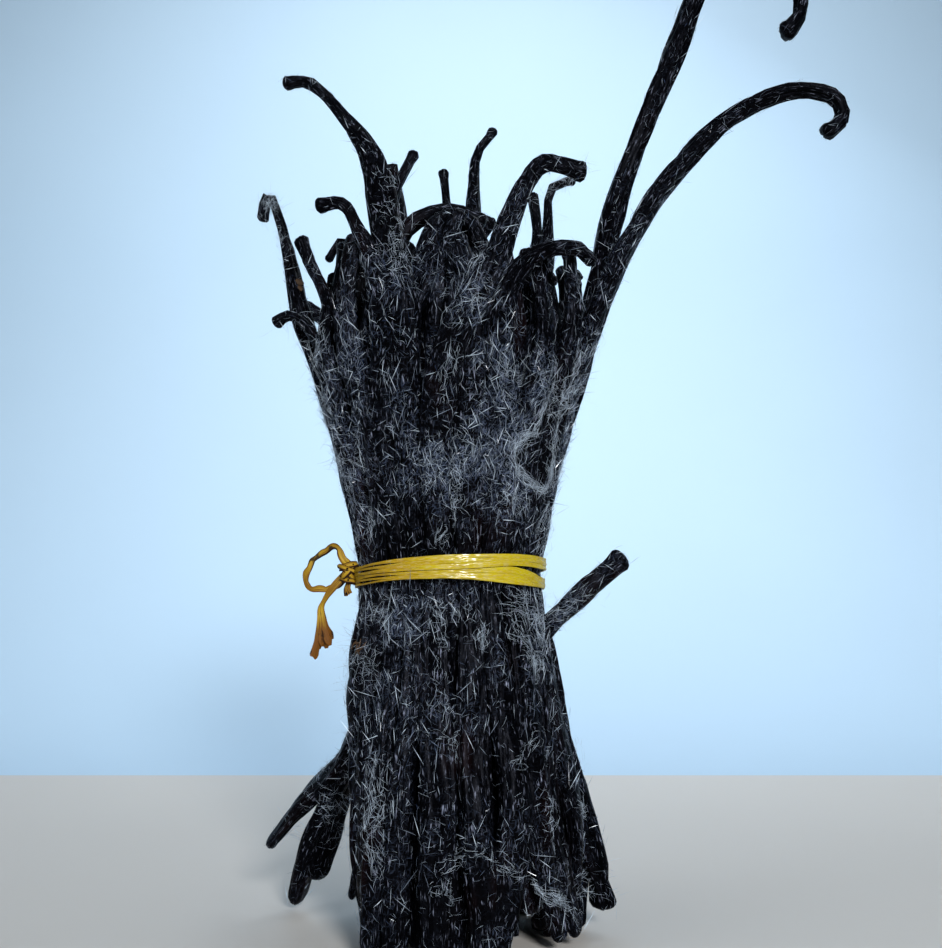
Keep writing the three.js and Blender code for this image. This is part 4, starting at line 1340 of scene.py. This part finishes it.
# %% Two turns round the waist
TIE_CLEARANCE, RAFFIA_THICKNESS = 0.3, 0.36
EDGES_AT = [90, 180, 207, 240, 270, 285, 309, 325, 338, 360]  # degrees round the waist: 270 is the front
TURNS = [  # lower edge and upper edge at each of those turns
    dict(low=[65.3, 64.8, 64.8, 65.1, 65.4, 65.6, 66.3, 66.3, 66.1, 66.2],
         high=[67.3, 66.2, 66.5, 67.4, 68.0, 68.1, 68.4, 68.4, 68.3, 68.2], out=0.26, seams=(0.3, 0.62)),
    dict(low=[62.8, 62.9, 63.0, 63.7, 63.8, 63.6, 63.0, 62.8, 62.7, 62.6],
         high=[65.0, 64.7, 64.7, 65.0, 65.32, 65.5, 66.2, 65.5, 64.6, 64.4], out=0.0, seams=(0.36, 0.7)),
]
FISSURES_AT, FISSURES_REACH, FISSURE = 212, 26, 0.34
LAP, EDGE_WAVE = 0.12, 0.10  # how far the ribbons overlap elsewhere, and how far their edges swing
ARCH = 0.07  # how far a ribbon bulges, as a share of its width
PLEAT, BUCKLE, BUCKLES = 0.12, 0.11, 13  # how high, and how fine the buckles are along the way
BAND_STEPS, RIBBON_COLUMNS = 320, 6
RIBBON_ROUND = 4.0  # millimetres once round a ribbon, for its grain


def around_waist(heights, azimuth):
    """A height given at a few turns, carried softly all the way round."""
    sharp = np.interp(np.degrees(azimuth), EDGES_AT, heights, period=360)
    return sum(np.roll(sharp, step) for step in range(-4, 5)) / 9


# %% Section of a ribbon
def ribbon_section(width, thickness, pleats):
    """Points of a flat section in (out, up) pairs: down the outer face and up the inner one."""
    across = np.linspace(1, -1, len(pleats))
    outer = np.stack([thickness + pleats + ARCH * width * (1 - across ** 2), across * width / 2], -1)
    inner = np.stack([np.zeros(len(pleats)), across[::-1] * width / 2], -1)
    return np.concatenate([outer, inner])


def buckled(turn, ribbon):
    """Height of the pleats and buckles across a ribbon at a turn round the waist."""
    spots = np.stack([np.linspace(0, 2.2, RIBBON_COLUMNS) + 5.3 * ribbon,
                      np.full(RIBBON_COLUMNS, math.cos(turn)), np.full(RIBBON_COLUMNS, 2 * turn)], 1)
    buckles = spots * (1.5, BUCKLES, 0) + (0, 0, BUCKLES * math.sin(turn))
    return PLEAT * (2 * patchy(spots, 1.0, 801) - 1) + BUCKLE * (2 * patchy(buckles, 1.0, 803) - 1)


def hoop(azimuth, top, bottom, out, ribbon):
    """Points of a ribbon once round the waist, between its two edges."""
    rings = np.empty((len(azimuth), 2 * RIBBON_COLUMNS, 3))
    for k, turn in enumerate(azimuth):
        section = ribbon_section(top[k] - bottom[k], RAFFIA_THICKNESS, buckled(turn, ribbon))
        rings[k, :, 0] = math.cos(turn) * (WAIST_RADIUS + out + section[:, 0])
        rings[k, :, 1] = math.sin(turn) * (WAIST_RADIUS * DEPTH_SHARE + out + section[:, 0])
        rings[k, :, 2] = (top[k] + bottom[k]) / 2 + section[:, 1]
    return rings


# %% Band
def make_band(material):
    store = Joined()
    azimuth = 2 * math.pi * np.arange(BAND_STEPS) / BAND_STEPS
    near_knot = np.exp(-((np.degrees(azimuth) - FISSURES_AT) / FISSURES_REACH) ** 2)
    gap = FISSURE * near_knot - LAP
    # Partly wear and partly painted shade: the band darkens towards the knot on its left.
    wear_and_shade = np.repeat(0.12 + 0.9 * near_knot ** 0.35, 2 * RIBBON_COLUMNS)
    total = sum(len(turn["seams"]) + 1 for turn in TURNS)
    ribbon = 0
    for turn in TURNS:
        low, high = around_waist(turn["low"], azimuth), around_waist(turn["high"], azimuth)
        cuts = [0, *turn["seams"], 1]
        for upper, lower in zip(cuts, cuts[1:]):
            wave = EDGE_WAVE * np.sin(azimuth * 6 + 2.1 * ribbon)
            top = mix(high, low, upper) - (gap / 2 + wave if upper > 0 else 0)
            bottom = mix(high, low, lower) + (gap / 2 - wave if lower < 1 else 0)
            out = TIE_CLEARANCE + turn["out"] + 0.04 * (ribbon % 2)
            rings = hoop(azimuth, top, bottom, out, ribbon)
            column = (ribbon / total, (ribbon + 1) / total)
            add_skin(store, rings, azimuth * WAIST_RADIUS, RIBBON_ROUND, wear_and_shade, column, lapped=True)
            store.grain[-1][..., 0] += 9.0 * ribbon
            ribbon += 1
    return store.make("raffia_band", material, folded=True)


band = make_band(yellow_raffia)

# %% [markdown]
# The ends are knotted on the left. Pulled tight, a knot shows only strands that cross at a slant and wrap
# round one another, so it is built of closed rings of ribbon, each with its own tilt. One end is drawn
# back through it as a loop, with a sharp fold where it turns. The other hangs down, pinched where it was
# rolled, and then opens into a frayed fan of overlapping pleats. Every edge is darkened with painted shade.

# %% Ribbon along a way
STRIP_ROUND = 3.0  # millimetres once round a strip, for its grain


def add_ribbon(store, way, widths, thickness, first, twist, column, salt, edge_shade=1.0, wear=(0.1, 0.1)):
    """A pleated strip along a way, closed at both ends. twist turns it about its own way, edge_shade is
    painted shade that darkens its edges, and wear is its real wear at even steps from its start to its end."""
    count, columns = len(way), RIBBON_COLUMNS
    _, normals, sideways = carried_frames(way, first)
    turned = np.linspace(0, twist, count)
    walked = np.concatenate([[0], np.cumsum(np.linalg.norm(np.diff(way, axis=0), axis=1))])
    rings = np.empty((count, 2 * columns, 3))
    for k in range(count):
        spots = np.stack([np.linspace(0, 3, columns) + salt, np.full(columns, 0.3),
                          np.full(columns, walked[k] / 3)], 1)
        pleats = 0.45 * thickness * (2 * patchy(spots, 1.0, 802) - 1)
        section = ribbon_section(widths[k], thickness, pleats)
        c, s = math.cos(turned[k]), math.sin(turned[k])
        out = normals[k] * c + sideways[k] * s
        up = sideways[k] * c - normals[k] * s
        rings[k] = way[k] + out * (section[:, :1] - thickness / 2) + up * section[:, 1:]
    # Painted shade along the strip's edges, where strands lie against and across one another.
    edge = edge_shade * np.abs(np.linspace(-1, 1, columns)) ** 5
    wear_along = np.interp(np.linspace(0, 1, count), np.linspace(0, 1, len(wear)), wear)
    wear_and_shade = np.concatenate([edge, edge])[None] + wear_along[:, None]
    wear_and_shade = np.append(wear_and_shade.ravel(), [1, 1])
    add_skin(store, rings[:, ::-1], walked + 0.01, STRIP_ROUND, wear_and_shade, column)
    store.grain[-1][..., 0] += salt * 3


# %% Knot
KNOT_AT = np.array([-19.1, -2, 65.5])
# The knot's wraps get the strongest painted shade along their edges.
WRAP_STEPS, WRAP_THICKNESS, WRAP_EDGE_SHADE, WRAP_WEAR = 60, 0.5, 2.8, (0.25, 0.25)
KNOT_WRAPS = [  # height over the middle, tilt in degrees, radii, width of the strand
    (0.0, 78, (0.9, 0.7), 2.0), (0.2, 48, (1.75, 1.5), 1.25), (0.1, -52, (1.7, 1.35), 1.2),
    (1.35, 14, (1.45, 1.25), 1.15), (-1.35, -12, (1.25, 1.15), 1.1), (0.7, -20, (1.7, 1.6), 0.9),
]
LOOP = [(-19.2, -2, 66.6), (-20.4, -1.8, 68.7), (-21.3, -1.5, 70.4), (-21.9, -1.2, 70.6), (-23.6, -1, 69.8),
        (-25.9, -1, 68.1), (-27.0, -1, 65.8), (-27.3, -1, 63.9), (-26.7, -1, 62.9), (-24.1, -1, 62.6),
        (-21.5, -1.3, 63.1), (-19.4, -2, 64.7)]
LOOP_STEPS, LOOP_THICKNESS = 110, 0.34
LOOP_WEAR = (0.0, 0.2, 0.5, 0.5, 0.35, 0.4, 0.35, 0.45, 0.5)
STUB = [(-18.9, -2.2, 64.0), (-19.3, -2.5, 62.4), (-19.1, -2.5, 61.2)]
STUB_STEPS, STUB_THICKNESS, STUB_STRIPS = 14, 0.3, (-0.35, 0.05, 0.45)  # how far each strip fans out


# %% Wraps, loop and stub
def add_wraps(store):
    """Closed rings of ribbon, each with its own tilt."""
    turn = np.linspace(0, 2 * math.pi, WRAP_STEPS)
    columns = 2 * len(KNOT_WRAPS)  # the wraps take half of the baking square
    for number, (rise, tilt, radii, width) in enumerate(KNOT_WRAPS):
        c, s = math.cos(math.radians(tilt)), math.sin(math.radians(tilt))
        reach = radii[0] * (1 + 0.08 * np.sin(3 * turn + number))
        way = KNOT_AT + np.stack([reach * np.cos(turn) * c, radii[1] * np.sin(turn),
                                  reach * np.cos(turn) * s + rise], 1)
        widths = width * (1 + 0.14 * np.sin(4 * turn + 2 * number))
        add_ribbon(store, way, widths, WRAP_THICKNESS, (c, 0, s), 0.4,
                   (number / columns, (number + 1) / columns), number, WRAP_EDGE_SHADE, WRAP_WEAR)


def add_loop(store):
    """The end that is drawn back through the knot."""
    share = np.linspace(0, 1, LOOP_STEPS)
    ripple = np.stack([0.10 * np.sin(share * 43), 0.2 * np.sin(share * 23), 0.10 * np.sin(share * 61)], 1)
    widths = 1.08 + 0.14 * np.sin(share * 27) + 0.1 * np.sin(share * 61)
    widths = widths + 0.5 * np.exp(-(share / 0.12) ** 2)
    add_ribbon(store, smooth_way(LOOP, LOOP_STEPS)[0] + ripple, widths, LOOP_THICKNESS,
               (0.3, -1, 0.2), 0.9, (0.5, 0.7), 3, 0.8, LOOP_WEAR)


def add_stub(store):
    """A short end of a few strips that stands out under the knot."""
    stub = smooth_way(STUB, STUB_STEPS)[0]
    share = np.linspace(0, 1, STUB_STEPS)[:, None]
    for number, aside in enumerate(STUB_STRIPS):
        way = stub + share * (aside, 0.1 * number, 0.25 * number)
        add_ribbon(store, way, np.linspace(0.9, 0.65, STUB_STEPS), STUB_THICKNESS, (0, -1, 0), 0.8,
                   (0.7 + 0.1 * number, 0.8 + 0.1 * number), 4 + number, 0.8, (0.5, 0.6))


def make_knot(material):
    store = Joined()
    add_wraps(store)
    add_loop(store)
    add_stub(store)
    return store.make("raffia_knot", material, folded=True)


# %% Tail
TAIL = [(-19.4, -2.4, 65.6), (-22.0, -2.6, 62.6), (-23.3, -2.4, 60.8), (-24.2, -2.2, 59.1),
        (-24.0, -2.2, 57.0), (-23.7, -2.2, 54.6), (-23.4, -2.2, 52.3), (-23.2, -2.2, 50.7)]
TAIL_WIDTHS = [1.5, 1.5, 1.2, 0.7, 1.4, 2.0, 3.0, 4.5]
TAIL_PLEATS = [1.05, 0.96, 0.93, 0.95, 0.92, 0.85]  # how far down each pleat reaches, as a share
# The tail's edges get a little painted shade.
TAIL_STEPS, TAIL_THICKNESS, TAIL_EDGE_SHADE = 70, 0.2, 0.4
TAIL_WEAR = (0.5, 0.5, 0.5, 0.4, 0.2, 0.75, 0.95, 0.85)
PLEATS_LAP = 2.7  # how many times its own share of the tail's width each pleat is wide
RAGGED_FROM = 0.93  # the share of its length past which a pleat narrows


def make_tail(material):
    """Pleats side by side, by turns in front and behind, which fan out towards the lower end."""
    store = Joined()
    count = len(TAIL_PLEATS)
    way, length = smooth_way(TAIL, TAIL_STEPS)
    share = np.linspace(0, 1, TAIL_STEPS)
    widths = np.interp(share, np.linspace(0, 1, len(TAIL_WIDTHS)), TAIL_WIDTHS)
    ragged = np.where(share > RAGGED_FROM, 1 - 10 * (share - RAGGED_FROM), 1)
    for pleat, reach in enumerate(TAIL_PLEATS):
        place = (pleat + 0.5) / count - 0.5
        line = way.copy()
        line[:, 0] += place * widths * (0.82 + 0.12 * np.sin(share * 9 + pleat))
        line[:, 1] += (0.13 if pleat % 2 else -0.13) * np.interp(share, [0, 0.5, 1], [1, 0.6, 1.8])
        held = np.minimum(share * reach, 1)
        line = np.stack([np.interp(held, share, line[:, axis]) for axis in range(3)], 1)
        line[:, 0] += place * 1.3 * smooth((share - 0.8) / 0.2)
        line[:, 2] -= smooth((share - 0.7) / 0.3) * max(reach - 1, 0) * length
        column = (pleat / count, (pleat + 1) / count)
        add_ribbon(store, line, widths / count * PLEATS_LAP * ragged, TAIL_THICKNESS, (0, -1, 0),
                   0.5 * (-1) ** pleat, column, 8 + pleat, TAIL_EDGE_SHADE, TAIL_WEAR)
    return store.make("raffia_tail", material, folded=True)


# %% All pieces of the tie
knot = make_knot(amber_raffia)
for piece in (band, knot, make_tail(amber_raffia)):
    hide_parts("raffia_tie")

# %% [markdown]
# ## Last bits
# Handling leaves crumbs of pod caught in the knot, and shreds of dry leaf in the frost. Crumbs sit on the
# raffia itself: each one starts from a random point of its mesh.


# %% Shreds of dry leaf
def shred_finish():
    finish = Finish("dry_leaf_shred")
    grain = finish.node("UVMap", {"uv_map": "Grain"}, None)
    fibres = finish.noise(grain, (4.0, 0.3, 1), 3)
    colour = finish.blend(fibres, (0.012, 0.006, 0.003, 1), (0.10, 0.048, 0.013, 1))
    bump = finish.node("Bump", None, {"Strength": 0.5, "Distance": 0.0001, "Height": fibres})
    return finish.surface(Base_Color=colour, Roughness=0.5 + fibres * 0.3, Normal=bump)


SHREDS = [  # start on the skin nearest to a spot, how far each reaches, and how wide it is
    ((-17.2, -10, 50.4), (1.9, -1.0, 2.3), 0.20), ((-16.6, -11, 53.6), (-0.9, -1.0, -2.6), 0.20),
    ((-17.4, -9, 51.6), (2.0, -1.2, 0.6), 0.18), ((-16.0, -11, 52.8), (-1.6, -0.9, -1.2), 0.22),
    ((-17.6, -9, 52.8), (1.2, -1.3, -2.2), 0.18), ((-16.2, -11, 50.6), (-0.4, -1.1, 2.2), 0.20),
    ((-17.8, -8, 53.4), (-0.6, -0.9, -0.8), 0.16), ((-15.8, -11, 51.6), (1.0, -0.9, 1.4), 0.18),
    ((-30.1, -1.6, 123.6), (1.7, -0.9, -1.1), 1.1), ((-29.2, -1.6, 122.8), (0.7, -1.0, -1.6), 0.9),
    ((-19.6, -13, 102.6), (0.6, -0.6, 2.0), 0.4), ((-20.2, -12, 103.4), (1.5, -0.5, 0.5), 0.3),
]
SHRED_STEPS, SHRED_THICKNESS, SHRED_TWIST = 14, 0.12, (-2, 2)


def make_shreds(material):
    store = Joined()
    for number, (start, reach, width) in enumerate(SHREDS):
        start, reach = np.array(solid_tree.find_nearest(start)[0]), np.array(reach)
        aside = chance.normal(0, 0.2, 3)
        way = smooth_way([start, start + reach * 0.5 + aside, start + reach], SHRED_STEPS)[0]
        widths = width * np.sin(math.pi * np.linspace(0.12, 0.95, SHRED_STEPS)) + 0.05
        column = (number / len(SHREDS), (number + 1) / len(SHREDS))
        add_ribbon(store, way, widths, SHRED_THICKNESS, (0, -1, 0), chance.uniform(*SHRED_TWIST),
                   column, number)
    return store.make("leaf_shreds", material, folded=True)


# %% Crumbs
CRUMBS, CRUMB_SIZES, CRUMB_SIDES, CRUMB_TONE = 26, (0.10, 0.24), 6, 0.3
CRUMB_GIRTH = np.array([0.3, 0.8, 1, 0.7, 0.25])  # from end to end


def make_crumbs(host, material):
    """Lumps at random points of a host's mesh."""
    store = Joined()
    steps = len(CRUMB_GIRTH)
    turn = 2 * math.pi * np.arange(CRUMB_SIDES) / CRUMB_SIDES
    spots = np.array([vertex.co for vertex in host.data.vertices]) / MM
    for number, spot in enumerate(spots[chance.choice(len(spots), CRUMBS)]):
        size = chance.uniform(*CRUMB_SIZES)
        way = spot + np.linspace(-1, 1, steps)[:, None] * unit(chance.normal(size=3)) * size
        _, normals, sideways = carried_frames(way, chance.normal(size=3))
        reach = size * CRUMB_GIRTH[:, None] * chance.uniform(0.6, 1.2, (steps, CRUMB_SIDES))
        rings = (way[:, None] + sideways[:, None] * (np.cos(turn) * reach)[..., None]
                 + normals[:, None] * (np.sin(turn) * reach)[..., None])
        column = (number / CRUMBS, (number + 1) / CRUMBS)
        add_skin(store, rings, np.linspace(0.01, size, steps), 1.0, CRUMB_TONE, column)
    return store.make("pod_crumbs", material)


make_shreds(shred_finish())
make_crumbs(knot, pod_material)
